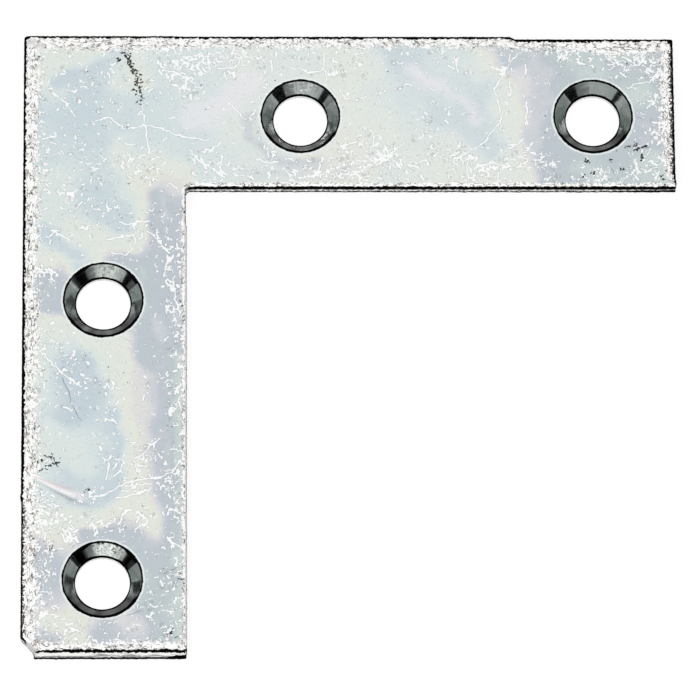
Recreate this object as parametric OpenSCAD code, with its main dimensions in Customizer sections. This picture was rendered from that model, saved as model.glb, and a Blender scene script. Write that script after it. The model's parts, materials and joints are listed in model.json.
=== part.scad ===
// Flat corner brace: an L of sheet steel with two countersunk screw holes in each arm.
//
// The plate lies on its back in the XY plane with the countersinks up. The centre lines of
// its arms cross at the origin. The rail arm runs along +X and the stile arm along -Y, as
// they would lie on the rail and the stile of a frame.
//
// It is a punched part, and its edge shows how it was made. The upper edge is rolled over
// all round. The last stroke of the punch left the outer edge of each arm a little out of
// line, one corner was cropped, and the stile arm's end was sheared off with a leaning break.

/* [Plate] */
// Length of the rail arm, from the outer corner to its end
rail_len = 80; // [62:1:160]
// Length of the stile arm, from the outer corner to its end
stile_len = 80; // [62:1:160]
// Width of both arms
arm_w = 20; // [15:0.5:36]
// Thickness of the sheet
sheet_t = 2; // [1.4:0.1:4]

/* [Screw holes] */
// Diameter of the hole where the screw's shank goes through
hole_d = 6.6; // [4:0.1:9]
// Height of the straight wall that is left under the countersink
hole_land = 0.5; // [0.2:0.05:1.2]
// Full angle of the countersink
sink_angle = 90; // [60:1:120]
// Radius that softens the countersink's rim
rim_r = 0.2; // [0.05:0.05:0.4]
// Distance between the two holes of an arm
hole_pitch = 36; // [20:1:44]
// Distance from the rail arm's end to its outer hole
rail_hole_end = 10; // [8:0.1:16]
// Distance from the stile arm's end to its outer hole
stile_hole_end = 9.1; // [8:0.1:16]
// How far the rail arm's holes lie from its centre line, towards the inner edge
rail_row_shift = 0.7; // [-2:0.05:2]
// How far the stile arm's holes lie from its centre line, towards the inner edge
stile_row_shift = -0.15; // [-2:0.05:2]

/* [Outline] */
// Radius of the outer corner
corner_r = 0.5; // [0.35:0.05:6]
// Radius of the fillet in the inner corner
fillet_r = 0.7; // [0.35:0.05:6]
// Radius of the corners at the rail arm's end
end_r = 0.35; // [0.35:0.05:5]
// Size of the corner that is cropped off the stile arm's end
crop = 2; // [0.5:0.1:8]
// Length of each arm that the last stroke of the punch cut
stroke_len = 20; // [12:0.5:30]
// How far that stroke set the rail arm's outer edge in
rail_step = 0.33; // [0.05:0.01:0.8]
// Length over which the rail arm's edge runs in
step_run = 1.8; // [0.8:0.1:5]
// How far that stroke left the stile arm's outer edge standing out
stile_step = 0.05; // [0.05:0.01:0.6]
// Height of the burr that marks the place where the stile arm's edge steps out
burr_h = 0.09; // [0.04:0.01:0.3]
// How far the stile arm's inner edge is set in next to the fillet
relief = 0.12; // [0.05:0.01:0.5]
// Length of that set-in stretch
relief_len = 4; // [1:0.5:12]

/* [Punched edge] */
// Radius of the roll-over along the upper edge
roll_r = 0.25; // [0.1:0.05:0.3]
// How far the break on the stile arm's sheared end leans out
shear_lean = 0.33; // [0.05:0.01:0.5]
// Height of that break above the back face
break_h = 1.3; // [0.4:0.1:1.6]

/* [Hidden] */
$fn = 96;

// How far a cutter runs past the face that it opens
lap = 0.1;
// Flats in each rounded corner of the outline, in the roll-over and in the countersink's rim
corner_steps = 6;
roll_steps = 4;
rim_steps = 4;

half_w = arm_w / 2;
rail_end = rail_len - half_w;
stile_end = half_w - stile_len;
// Length of the burr's steep side, which faces the corner
burr_run = 2 * burr_h;
// Length of the ramp that ends the relief
relief_run = 4 * relief;

// Height at which the roll-over starts
roll_foot = sheet_t - roll_r;

hole_r = hole_d / 2;
sink_r = hole_r + (sheet_t - hole_land) * tan(sink_angle / 2);

// Places of the holes along each arm
rail_holes = [for (k = [0, 1]) rail_end - rail_hole_end - k * hole_pitch];
stile_holes = [for (k = [0, 1]) stile_end + stile_hole_end + k * hole_pitch];

function unit(v) = v / norm(v);

// The outline's corners, clockwise from the outer one, each as [x, y, radius]. The stile
// arm is longer by over, and its cropped side runs straight on.
function corners(over) = [
    [-half_w, half_w, corner_r],
    [rail_end - stroke_len - step_run, half_w, 0],
    [rail_end - stroke_len, half_w - rail_step, 0],
    [rail_end, half_w - rail_step, end_r],
    [rail_end, -half_w, end_r],
    [half_w - relief, -half_w, fillet_r],
    [half_w - relief, -half_w - fillet_r - relief_len, 0],
    [half_w, -half_w - fillet_r - relief_len - relief_run, 0],
    [half_w, stile_end - over, 0],
    [crop + over - half_w - stile_step, stile_end - over, 0],
    [-half_w - stile_step, stile_end + crop, 0],
    [-half_w - stile_step, stile_end + stroke_len - 4 * burr_run, 0],
    [-half_w - stile_step - burr_h, stile_end + stroke_len - burr_run, 0],
    [-half_w, stile_end + stroke_len, 0],
];

// Points that round the corner b, between a and c, to the radius r
function corner_arc(a, b, c, r) =
    r == 0 ? [b] :
    let (
        u = unit(a - b),
        v = unit(c - b),
        half = acos(u * v) / 2,
        centre = b + unit(u + v) * r / sin(half),
        spoke = b + u * r / tan(half) - centre,
        sweep = sign(cross(v, u)) * (180 - 2 * half)
    )
    [for (k = [0:corner_steps])
        let (t = sweep * k / corner_steps)
        centre + [spoke.x * cos(t) - spoke.y * sin(t), spoke.x * sin(t) + spoke.y * cos(t)]];

// The whole outline as points, with its corners rounded
function outline(over = 0) =
    let (c = corners(over), n = len(c), p = [for (q = c) [q.x, q.y]])
    [for (i = [0:n - 1]) each corner_arc(p[(i + n - 1) % n], p[i], p[(i + 1) % n], c[i].z)];

edge = outline();
sides = len(edge);

// Normal of side i, into the plate
function inward(i) =
    let (along = unit(edge[(i + 1) % sides] - edge[i % sides]))
    [along.y, -along.x];

// Point i of the edge moved into the plate so that its two sides both move by d
function inset(i, d) =
    let (m = inward(i + sides - 1), n = inward(i))
    edge[i] + d * (m + n) / (1 + m * n);

// Section of the roll-over as [distance from the edge, height], from its foot over the
// quarter round to the flat top, and down inside to close it
roll_section = [
    for (k = [0:roll_steps])
        let (t = 90 * k / roll_steps)
        [roll_r * (1 - cos(t)), roll_foot + roll_r * sin(t)],
    [roll_r, roll_foot],
];

// The rolled-over rim: the section led round the whole outline, mitred at its corners
module rolled_rim() {
    rows = len(roll_section);
    polyhedron(
        points = [for (q = roll_section, i = [0:sides - 1])
            let (p = inset(i, q[0])) [p.x, p.y, q[1]]],
        faces = [for (k = [0:rows - 1], i = [0:sides - 1])
            let (j = (i + 1) % sides, row = k * sides, next = ((k + 1) % rows) * sides)
            [row + i, row + j, next + j, next + i]]
    );
}

// What the shear takes off the stile arm's end: upright above, leaning out below
module shear_cut() {
    far = shear_lean + 3 * lap;
    profile = [
        [0, sheet_t],
        [0, break_h],
        [-shear_lean * (1 + lap / break_h), -lap],
        [-far, -lap],
        [-far, sheet_t],
    ];
    translate([-arm_w, stile_end, 0])
        rotate([90, 0, 90])
            linear_extrude(2 * arm_w)
                polygon(profile);
}

// The blank with its punched edge: plain sides up to the roll, the flat face inside it
module blank() {
    difference() {
        linear_extrude(roll_foot)
            polygon(outline(shear_lean + lap));
        shear_cut();
    }
    linear_extrude(sheet_t)
        polygon([for (i = [0:sides - 1]) inset(i, roll_r)]);
    rolled_rim();
}

// One screw hole: straight land, cone and softened rim, turned from a single profile
module screw_hole() {
    cone_angle = sink_angle / 2;
    rim_x = sink_r + rim_r / tan(45 + cone_angle / 2);
    rim = [for (k = [0:rim_steps])
        let (t = 180 - cone_angle - (90 - cone_angle) * k / rim_steps)
        [rim_x + rim_r * cos(t), sheet_t - rim_r + rim_r * sin(t)]];
    rotate_extrude()
        polygon(concat(
            [[0, -lap], [hole_r, -lap], [hole_r, hole_land]],
            rim,
            [[rim_x, sheet_t + lap], [0, sheet_t + lap]]
        ));
}

// The L-shaped plate
module corner_plate() {
    color("#c6ced2")
        difference() {
            blank();
            for (x = rail_holes)
                translate([x, -rail_row_shift, 0])
                    screw_hole();
            for (y = stile_holes)
                translate([stile_row_shift, y, 0])
                    screw_hole();
        }
}

corner_plate();
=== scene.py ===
# %% [markdown]
# # A flat corner brace in bright zinc plate
#
# This lesson dresses a small piece of punched steel: an L-shaped plate, 80 mm each way, with four
# countersunk holes. Its rail arm runs along +X and its stile arm along -Y, towards the camera.
# The exact solid comes from the CAD frame. Here a detailed skin is built on the same sizes,
# because the real plate shows things that a clean solid doesn't have: an edge that rolls over, a
# torn end, scratches, pits and a dent, and the pale rainbow tints of the zinc.

# %% Load the frame
import json
import math

import bpy
import numpy as np
from mathutils import Matrix, Vector
from mathutils.geometry import delaunay_2d_cdt


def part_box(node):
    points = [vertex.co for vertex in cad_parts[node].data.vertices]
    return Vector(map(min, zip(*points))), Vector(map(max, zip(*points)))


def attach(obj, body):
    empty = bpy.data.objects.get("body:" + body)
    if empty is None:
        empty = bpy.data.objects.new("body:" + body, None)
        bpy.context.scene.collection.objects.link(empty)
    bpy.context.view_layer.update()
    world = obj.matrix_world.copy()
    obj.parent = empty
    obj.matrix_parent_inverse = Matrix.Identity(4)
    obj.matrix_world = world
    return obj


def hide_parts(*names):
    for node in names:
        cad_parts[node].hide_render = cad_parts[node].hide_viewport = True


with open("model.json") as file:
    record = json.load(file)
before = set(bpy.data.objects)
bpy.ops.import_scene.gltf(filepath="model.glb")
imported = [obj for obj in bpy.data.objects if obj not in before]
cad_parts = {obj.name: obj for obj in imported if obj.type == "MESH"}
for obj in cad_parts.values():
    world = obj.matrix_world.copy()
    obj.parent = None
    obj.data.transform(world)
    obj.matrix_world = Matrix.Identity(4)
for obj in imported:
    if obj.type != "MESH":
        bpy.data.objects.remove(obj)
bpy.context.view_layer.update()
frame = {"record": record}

# %% [markdown]
# ## Where the camera stands
#
# The picture was taken from far away with a long lens, so the two arms keep nearly the same
# scale. The camera looks down on the plate, 21 degrees off the vertical, from the side where the
# stile arm ends. A camera is an object whose own axes are its right, its up and its back, so
# three vectors and a place are all that it needs.

# %% The camera
TILT = math.radians(20.81)
YAW = math.radians(1.32)
DISTANCE = 0.9351
LENS_MM = 397.1
SENSOR_MM = 36
AIM = Vector((0.02965, -0.03042, 0.0))

back = Vector((-math.sin(YAW), -math.sin(TILT) * math.cos(YAW), math.cos(TILT) * math.cos(YAW)))
up = Vector((0.0, math.cos(TILT), math.sin(TILT)))
right = up.cross(back).normalized()
up = back.cross(right)

lens = bpy.data.cameras.new("long_lens")
lens.lens = LENS_MM
lens.sensor_width = SENSOR_MM
lens.clip_start = 0.05
lens.clip_end = 20
camera = bpy.data.objects.new("long_lens", lens)
axes = Matrix((right, up, back)).transposed()
camera.matrix_world = Matrix.Translation(AIM + DISTANCE * back) @ axes.to_4x4()
bpy.context.scene.collection.objects.link(camera)
bpy.context.scene.camera = camera
bpy.context.scene.view_settings.view_transform = "Standard"
print("camera at", [round(v, 3) for v in camera.matrix_world.translation])

# %% [markdown]
# ## Shader maths as plain expressions
#
# A material is a tree of nodes. Written node by node it is hard to read, so a small class wraps
# a node's socket and turns `a * b + 1` into Math nodes. Every other node comes from one method,
# `node`, which sets the node's options first and then its inputs.

# %% A socket that can be added and multiplied
class Sock:
    """A value in a recipe. Arithmetic on it adds Math nodes."""

    def __init__(self, recipe, socket):
        self.recipe = recipe
        self.socket = socket

    def _math(self, operation, *values):
        return self.recipe.node("Math", {"operation": operation}, dict(enumerate(values)))

    def __add__(self, other):
        return self._math("ADD", self, other)

    def __radd__(self, other):
        return self._math("ADD", other, self)

    def __sub__(self, other):
        return self._math("SUBTRACT", self, other)

    def __rsub__(self, other):
        return self._math("SUBTRACT", other, self)

    def __mul__(self, other):
        return self._math("MULTIPLY", self, other)

    def __rmul__(self, other):
        return self._math("MULTIPLY", other, self)

    def __truediv__(self, other):
        return self._math("DIVIDE", self, other)

    def abs(self):
        return self._math("ABSOLUTE", self)

    def most(self, other):
        return self._math("MAXIMUM", self, other)


# %% A recipe, which is one material's tree
class Recipe:
    """A node tree with one method that adds any node, and a few finishing words built on it."""

    def __init__(self, owner):
        owner.use_nodes = True
        self.owner = owner
        self.tree = owner.node_tree
        self.tree.nodes.clear()

    def node(self, kind, settings=None, inputs=None, output=0):
        made = self.tree.nodes.new("ShaderNode" + kind)
        for name, value in (settings or {}).items():
            if name == "stops":
                self._set_stops(made.color_ramp, value)
            else:
                setattr(made, name, value)
        for key, value in (inputs or {}).items():
            socket = self._open(made.inputs, key)
            if isinstance(value, Sock):
                self.tree.links.new(value.socket, socket)
            else:
                socket.default_value = value
        return Sock(self, self._open(made.outputs, output))

    @staticmethod
    def _open(sockets, key):
        """A socket by its place, or the usable one of that name."""
        if isinstance(key, int):
            return [s for s in sockets if s.enabled][key]
        return next(s for s in sockets if s.enabled and s.name == key)

    @staticmethod
    def _set_stops(ramp, stops):
        while len(ramp.elements) < len(stops):
            ramp.elements.new(0.5)
        for element, (place, colour) in zip(ramp.elements, stops):
            element.position = place
            element.color = (*colour, 1.0)

    def note(self, name):
        """What the mesh says at each point under that name."""
        return self.node("Attribute", {"attribute_name": name}, output="Fac")

    def step(self, value, low, high):
        """0 below low and 1 above high, with a soft change between. It falls if low is higher."""
        return self.node("MapRange", {"interpolation_type": "SMOOTHSTEP"},
                         {"Value": value, "From Min": low, "From Max": high})

    def mix(self, share, first, second):
        return self.node("Mix", {"data_type": "RGBA"}, {"Factor": share, "A": first, "B": second},
                         "Result")

    def noise(self, place, per_mm, seed, detail=2.0):
        """Noise with about that many grains to a millimetre. Each seed has its own pattern."""
        moved = self.node("VectorMath", {"operation": "ADD"},
                          {0: place, 1: (17.0 * seed, 5.0 * seed, 0.0)})
        return self.node("TexNoise", {}, {"Vector": moved, "Scale": per_mm, "Detail": detail}, "Fac")

    def waver(self, place, per_mm, seed, detail, height):
        """The same noise round 0. It goes up and down by up to half its height."""
        return (self.noise(place, per_mm, seed, detail) - 0.5) * height

    def axis(self, vector, name):
        return self.node("SeparateXYZ", {}, {"Vector": vector}, name)

    def bump(self, height, strength, depth_mm):
        return self.node("Bump", {}, {"Strength": strength, "Distance": 0.001 * depth_mm,
                                      "Height": height}, "Normal")

    def seen(self):
        """1 for what is seen, straight or in a mirror, and 0 for the light on matt things."""
        straight, mirrored, through = [self.node("LightPath", output=f"Is {name} Ray")
                                       for name in ("Camera", "Glossy", "Transmission")]
        return straight.most(mirrored).most(through)

    def glow(self, level):
        return self.node("Emission", {}, {"Color": paint(level), "Strength": 1.0})

    def metal(self, colour, dull, rough, normal):
        """Bare metal. Where it is dull, under dirt or where light or shade is painted, it is no metal and
        mirrors nothing.
        """
        return self.node("BsdfPrincipled", {}, {
            "Base Color": colour, "Metallic": 1.0 - dull, "Roughness": rough,
            "Specular IOR Level": 0.0, "Normal": normal}, "BSDF")

    def shader_out(self, shader):
        """Ends the tree and gives back what it belongs to."""
        kind = "World" if isinstance(self.owner, bpy.types.World) else "Material"
        end = self.tree.nodes.new("ShaderNodeOutput" + kind)
        self.tree.links.new(shader.socket, end.inputs["Surface"])
        return self.owner


def paint(level, tint=(1.0, 1.0, 1.0)):
    """A colour as a node socket takes it: a grey level times a tint."""
    return (*(level * part for part in tint), 1.0)


# %% [markdown]
# ## The studio
#
# The plate lies on a white table under a white tent. The world is that tent: at strength 1 it is
# white to the camera, and metal reflects it at the same strength. Its light on matt things is a
# little lower, because a softbox adds the rest. The table is lit from within as well, so the
# plate's shadow on it stays faint.
#
# Bright metal shows whatever stands round it, so the look of the holes' cones is made here. Grey
# boards at both sides turn their flanks grey, and two black cards give each cone its two dark
# wedges. A grey card beside the wider black one dims what lies next to its wedge. A photographer
# sets cards beside small polished parts for the same reason. Only reflections see them.

# %% The tent and the table
AMBIENT = 0.86
TABLE_WHITE = 1.03
MATT_SHARE = 0.15

tent = bpy.data.worlds.new("white_tent")
bpy.context.scene.world = tent
sky = Recipe(tent)
brightness = AMBIENT + sky.seen() * (1 - AMBIENT)
sky.shader_out(sky.node("Background", {}, {"Color": paint(1.0), "Strength": brightness}))


def flat_board(name, corners, finish):
    """A four-cornered board of the studio, which isn't part of the object."""
    mesh = bpy.data.meshes.new(name)
    mesh.from_pydata(corners, [], [(0, 1, 2, 3)])
    mesh.materials.append(finish)
    board = bpy.data.objects.new(name, mesh)
    bpy.context.scene.collection.objects.link(board)
    return board


def table_paint():
    """White paint that is mostly lit from within, and takes a faint shadow."""
    top = Recipe(bpy.data.materials.new("white_table"))
    matt = top.node("BsdfDiffuse", {}, {"Color": paint(MATT_SHARE)})
    lit = top.node("Emission", {}, {"Color": paint(1.0),
                                    "Strength": top.seen() * (TABLE_WHITE - MATT_SHARE)})
    return top.shader_out(top.node("AddShader", {}, {0: matt, 1: lit}))


REACH = 8.0
UNDER = -0.00005
flat_board("table", [(-REACH, -REACH, UNDER), (REACH, -REACH, UNDER),
                     (REACH, REACH, UNDER), (-REACH, REACH, UNDER)], table_paint())
print("the table is", 2 * REACH, "m wide")


# %% The cards
BOARD_HEIGHTS = (-0.02, 0.27)
CARD_HEIGHTS = (0.1, 0.42)


def card_paint(name, level):
    card = Recipe(bpy.data.materials.new(name))
    return card.shader_out(card.glow(level))


def card(name, azimuth, width, heights, away, finish):
    """An upright card that far away. Azimuth is in degrees from the front, where the camera is."""
    turn = math.radians(azimuth)
    centre = AIM + Vector((math.sin(turn), -math.cos(turn), 0.0)) * away
    along = Vector((math.cos(turn), math.sin(turn), 0.0)) * width / 2
    foot, head = [Vector((0.0, 0.0, height)) for height in heights]
    made = flat_board(name, [centre - along + foot, centre + along + foot,
                             centre + along + head, centre - along + head], finish)
    made.visible_camera = False
    made.visible_diffuse = False
    made.visible_shadow = False


grey_board = card_paint("grey_board", 0.5)
grey_card = card_paint("grey_card", 0.45)
black_card = card_paint("black_card", 0.01)
for name, side in (("left", -1), ("right", 1)):
    card(f"grey_board_{name}", 113 * side, 1.94, BOARD_HEIGHTS, 1.0, grey_board)
card("wide_black_card", 56.5, 0.48, CARD_HEIGHTS, 0.93, black_card)
card("narrow_black_card", -62, 0.26, CARD_HEIGHTS, 0.93, black_card)
card("grey_card", 30, 0.5, CARD_HEIGHTS, 0.98, grey_card)

# %% The softbox
softbox_light = bpy.data.lights.new("softbox", "AREA")
softbox_light.shape = "SQUARE"
softbox_light.size = 0.7
softbox_light.energy = 5.0
softbox = bpy.data.objects.new("softbox", softbox_light)
softbox.location = (-0.55, -0.75, 1.15)
softbox.rotation_mode = "QUATERNION"
softbox.rotation_quaternion = (AIM - softbox.location).to_track_quat("-Z", "Y")
bpy.context.scene.collection.objects.link(softbox)

# %% [markdown]
# ## Sizes, in millimetres
#
# The frame knows the plate's box and the places of its holes, so they are read from there. The
# few sizes that it doesn't state are the CAD source's own: the height of the land under the
# countersink, its softened rim, the roll-over of the punched edge, and how far the sheared end
# leans out below its break. The wall's lowest row is drawn in by a hair. The lean is that much
# more, so that the end's foot still lies where the CAD has it. The origin is the place where the
# two arms' centre lines cross, so the box's upper side in y is half an arm's width.

# %% Read the plate's sizes from the frame
PLATE = "corner_plate"
low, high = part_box(PLATE)
ROLL = 0.25
SHEAR_LEAN = 0.33
BREAK = 1.3
FOOT_IN = 0.03
LEAN = SHEAR_LEAN + FOOT_IN
THICK = round(1000 * high.z, 3)
RAIL_END = round(1000 * high.x, 3)
HALF = round(1000 * high.y, 3)
STILE_END = round(1000 * low.y + SHEAR_LEAN, 3)

holes = []
for mount in frame["record"]["mounts"]:
    if mount["kind"] != "bolt_pattern":
        continue
    dims = mount["dims"]
    middle = 1000 * np.array(mount["pos_m"][:2])
    reach = np.array([dims.get(f"spacing_{axis}_mm", 0.0) for axis in "xy"]) / 2
    holes += [middle - reach, middle + reach]
    HOLE_R = dims["hole_r_mm"]

LAND = 0.5
RIM_R = 0.2
SINK_R = HOLE_R + THICK - LAND
print("holes at", [tuple(h.round(2).tolist()) for h in holes], "radius", HOLE_R, "countersink", SINK_R)

# %% [markdown]
# ## Uneven, but the same each time
#
# Metal that was punched, tumbled and plated is never quite even. A sum of a few dozen sine waves
# in random directions makes a smooth unevenness with bumps of a chosen size. The seed fixes it,
# so the plate comes out the same on every run.


# %% A smooth unevenness
def ripple(places, size, seed, waves=28):
    """About -1 to 1 at each place, with bumps about that size across."""
    places = np.atleast_2d(np.asarray(places, float).T).T
    draw = np.random.default_rng(seed)
    way = draw.normal(size=(waves, places.shape[1]))
    way /= np.linalg.norm(way, axis=1, keepdims=True)
    way *= 2 * np.pi / size * draw.uniform(0.55, 1.3, (waves, 1))
    return np.sin(places @ way.T + draw.uniform(0, 2 * np.pi, waves)).sum(1) / math.sqrt(waves)


# %% [markdown]
# ## The outline
#
# The outline goes clockwise from the outer corner. Each corner has a place, a radius, and three
# widths for the side that starts there: that of the dark line painted along its rolled edge, a
# painted dark reflection, that of the rough white band where tumbling against other parts has
# scoured the face, and that of the zone beside the line where dark grit has stuck. A line narrower
# than nothing marks an edge whose roll and wall are painted pale and matt instead, a painted
# highlight. The small steps are the punch's: each stroke met the last one a little out of line.

# %% The outline's corners
CORNERS = [
    # x, y, radius, dark line, rough band, gritty zone
    (-HALF, 10.06, 0.5, 0.34, 1.6, 0.0),
    (8.0, 10.06, 0.0, 0.34, 1.5, 0.0),
    (10.0, 10.0, 0.0, 0.38, 1.3, 0.0),
    (49.9, 10.0, 0.0, 0.44, 1.2, 0.0),
    (50.6, 9.67, 0.0, 0.44, 1.3, 0.0),
    (61.0, 9.67, 0.0, 0.36, 2.0, 0.0),
    (RAIL_END + 0.04, 9.67, 0.35, 0.28, 1.3, 0.5),
    (RAIL_END, -8.8, 0.0, 0.28, 1.3, 0.45),
    (RAIL_END + 0.12, -9.5, 0.1, 0.26, 1.0, 0.0),
    (RAIL_END, -HALF, 0.2, 0.05, 0.42, 0.0),
    (9.88, -HALF, 0.7, -0.02, 0.4, 0.1),
    (9.88, -14.7, 0.0, -0.04, 0.5, 0.05),
    (HALF, -15.2, 0.0, -0.04, 0.5, 0.05),
    (HALF, -31.0, 0.0, -0.04, 0.5, 0.05),
    (HALF, STILE_END, 0.3, 0.24, 1.0, 0.0),
    (-8.12, STILE_END, 0.1, -0.06, 1.2, 0.0),
    (-9.94, -68.0, 0.1, 0.22, 1.7, 0.4),
    (-9.94, -50.8, 0.0, 0.22, 1.7, 0.4),
    (-10.12, -50.2, 0.0, 0.3, 1.6, 0.0),
    (-HALF, -49.8, 0.0, 0.36, 1.6, 0.2),
    (-HALF, -30.0, 0.0, 0.3, 1.5, 0.0),
]
STEP = 0.3


def corner_arc(before, corner, after, radius, flats=6):
    """The points that round one corner."""
    if radius == 0:
        return [corner]
    u = (before - corner) / np.linalg.norm(before - corner)
    v = (after - corner) / np.linalg.norm(after - corner)
    half = math.acos(float(u @ v)) / 2
    middle = corner + (u + v) / np.linalg.norm(u + v) * radius / math.sin(half)
    spoke = corner + u * radius / math.tan(half) - middle
    sweep = math.copysign(math.pi - 2 * half, v[0] * u[1] - v[1] * u[0])
    turns = [sweep * k / flats for k in range(flats + 1)]
    return [middle + np.array([spoke[0] * math.cos(t) - spoke[1] * math.sin(t),
                               spoke[0] * math.sin(t) + spoke[1] * math.cos(t)]) for t in turns]


def trace_outline():
    """Points every STEP along the outline, with the three widths at each."""
    spots = [np.array(c[:2]) for c in CORNERS]
    rough = []
    for k, entry in enumerate(CORNERS):
        arc = corner_arc(spots[k - 1], spots[k], spots[(k + 1) % len(spots)], entry[2])
        rough += [(point, entry[3:]) for point in arc]
    points, widths = [], []
    for k, (point, zones) in enumerate(rough):
        ahead = rough[(k + 1) % len(rough)][0]
        parts = max(1, round(float(np.linalg.norm(ahead - point)) / STEP))
        points += [point + (ahead - point) * j / parts for j in range(parts)]
        widths += [zones] * parts
    return np.array(points), np.array(widths)


def round_ring(values, reach):
    """Each value averaged with its neighbours round a closed ring."""
    summed = sum(np.roll(values, k, axis=0) for k in range(-reach, reach + 1))
    return summed / (2 * reach + 1)


edge_line, widths = trace_outline()
widths = round_ring(widths, 4)
step_along = np.linalg.norm(np.roll(edge_line, -1, axis=0) - edge_line, axis=1)
travel = np.concatenate([[0.0], np.cumsum(step_along)[:-1]])
torn = round_ring((np.abs(edge_line[:, 1] - STILE_END) < 0.05).astype(float), 1)
print(len(edge_line), "points along", round(step_along.sum(), 1), "mm of edge")


# %% Move the outline in or out
def outward_of(ring):
    """The way out of the plate at each point of a clockwise ring, longer at a corner."""
    side = np.roll(ring, -1, axis=0) - ring
    normal = np.stack([-side[:, 1], side[:, 0]], 1) / np.linalg.norm(side, axis=1, keepdims=True)
    last = np.roll(normal, 1, axis=0)
    return (normal + last) / (1 + (normal * last).sum(1, keepdims=True)).clip(0.5)


outward = outward_of(edge_line)
wobble = 0.006 * ripple(travel, 5.0, 1) + 0.020 * ripple(travel, 0.75, 2)
edge_line = edge_line + outward * (wobble * (1 + 0.3 * torn))[:, None]
outward = outward_of(edge_line)

# %% [markdown]
# ## A mesh that knows where it is
#
# The skin is collected as plain arrays: points, faces, each face's finish and its place on the
# texture map. Each point also carries notes for the paint, such as its distance from the edge
# in millimetres. A note is exact wherever the mesh is, so thin lines stay sharp.

# %% Collect points, notes and faces
NOTES = ("film", "bloom", "edge", "along", "line", "band", "grit", "crowd", "fleck", "pit", "rim",
         "blush", "rust", "shade", "streak", "flake", "torn")
FACE, WALL, CONE = range(3)
skin = {"points": [], "faces": [], "finish": [], "map": []}
skin.update({name: [] for name in NOTES})


def add_points(places, **notes):
    """Adds points in mm and returns their numbers."""
    first = len(skin["points"])
    skin["points"] += [tuple(p) for p in places]
    for name in NOTES:
        skin[name] += np.broadcast_to(notes.get(name, 0.0), len(places)).astype(float).tolist()
    return np.arange(first, first + len(places))


def add_face(corners, finish, spots):
    skin["faces"].append([int(c) for c in corners])
    skin["finish"].append(finish)
    skin["map"] += [tuple(s) for s in spots]


def add_band(upper, lower, map_up, map_low, finish):
    """Faces between two closed rows of points. The map's rows end with one place more."""
    count = len(upper)
    for i in range(count):
        j = (i + 1) % count
        add_face((upper[i], upper[j], lower[j], lower[i]), finish,
                 (map_up[i], map_up[i + 1], map_low[i + 1], map_low[i]))


def add_triangles(numbers, triangles, spots):
    for triangle in triangles:
        add_face(numbers[triangle], FACE, spots[triangle])


def places_of(numbers):
    """Where the points with these numbers lie, seen from above."""
    return np.array([skin["points"][number][:2] for number in numbers])


# %% [markdown]
# ## The texture map
#
# The map lays the whole skin on one square picture, and it is laid out to use it well. The top
# face takes the whole picture at one scale, with each cone inside its own hole. The back lies
# smaller in the free corner of the L, and the walls lie in strips inside that.

# %% Places on the map
MAP_MM = 83.0
MAP_MARGIN = 1.0
BACK_SCALE = 0.73
BACK_AT = (18.5, -18.7)
STRIP_AT = (26.8, -28.0)
STRIP_LONG = 42.0
STRIP_PITCH = 5.3
STRIP_ROW = 0.33


def on_map(places):
    """From millimetres on the plate to the map's 0 to 1."""
    return (np.asarray(places, float) + (MAP_MARGIN + HALF, MAP_MARGIN - STILE_END)) / MAP_MM


def back_on_map(places):
    return on_map(np.asarray(places, float) * BACK_SCALE + BACK_AT)


# %% [markdown]
# ## The punched edge
#
# A punch first bends the sheet's skin down, which leaves the rolled edge. Then it cuts a smooth,
# burnished band, and in the last half the sheet simply breaks, rough and a little uneven. The
# edge is built as rows of points that run round the whole outline, from the flat face over the
# roll and down the wall. The roll's rows are given in degrees, from the face outwards, and the
# wall's as shares of its height. At the sheared end the break leans out, and below the edge the
# metal has torn into small pockets.

# %% The rows of the edge
ROLL_TURNS = (0, 22, 44, 66, 88)
WALL_STEPS = (0.93, 0.84, 0.73, 0.62, 0.52, 0.4, 0.28, 0.17, 0.06)
BURNISH = 1.05
POCKET_AT = 1.6
POCKET_DEEP = 0.16

roll = ROLL * (1 + 0.12 * ripple(travel, 3.0, 3))
ring3 = np.column_stack([edge_line, np.zeros(len(edge_line))])


def wall_depth(z):
    """How far the wall stands in from the outline at these heights."""
    here = ring3 + np.array([0.0, 0.0, 1.0]) * z[:, None]
    rough = 0.022 * ripple(here, 0.9, 4) + 0.016 * ripple(here, 0.45, 5)
    broken = np.clip((BURNISH - z + 0.15 * ripple(travel, 2.0, 6)) / 0.15, 0, 1)
    pocket = np.clip(ripple(travel, 1.2, 7) + 0.5, 0, 1) * np.exp(-((z - POCKET_AT) / 0.2) ** 2)
    lean = LEAN * np.clip(1 - z / BREAK, 0, 1)
    return broken * (0.01 + rough) * (1 - 0.5 * torn) + torn * (POCKET_DEEP * pocket - lean)


def add_edge_row(depth, z, edge):
    """One row round the plate: how far in and how high it lies, and its note for the paint."""
    flat = edge_line - outward * depth[:, None]
    return add_points(np.column_stack([flat, z]), edge=edge, along=travel, line=widths[:, 0],
                      band=widths[:, 1], grit=widths[:, 2], torn=torn, rim=9.0, film=0.5)


def add_edge_faces(k, finish):
    """The faces below row k. Each piece of the edge lies in its own strip of the map."""
    strip = travel // STRIP_LONG
    start = STRIP_AT[0] + travel - strip * STRIP_LONG
    upper = STRIP_AT[1] - STRIP_ROW * k - strip * STRIP_PITCH
    count = len(travel)
    for i in range(count):
        j = (i + 1) % count
        end, lower = start[i] + step_along[i], upper[i] - STRIP_ROW
        spots = on_map([(start[i], upper[i]), (end, upper[i]), (end, lower), (start[i], lower)])
        corners = (edge_rows[k][i], edge_rows[k][j], edge_rows[k + 1][j], edge_rows[k + 1][i])
        add_face(corners, finish, spots)


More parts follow.
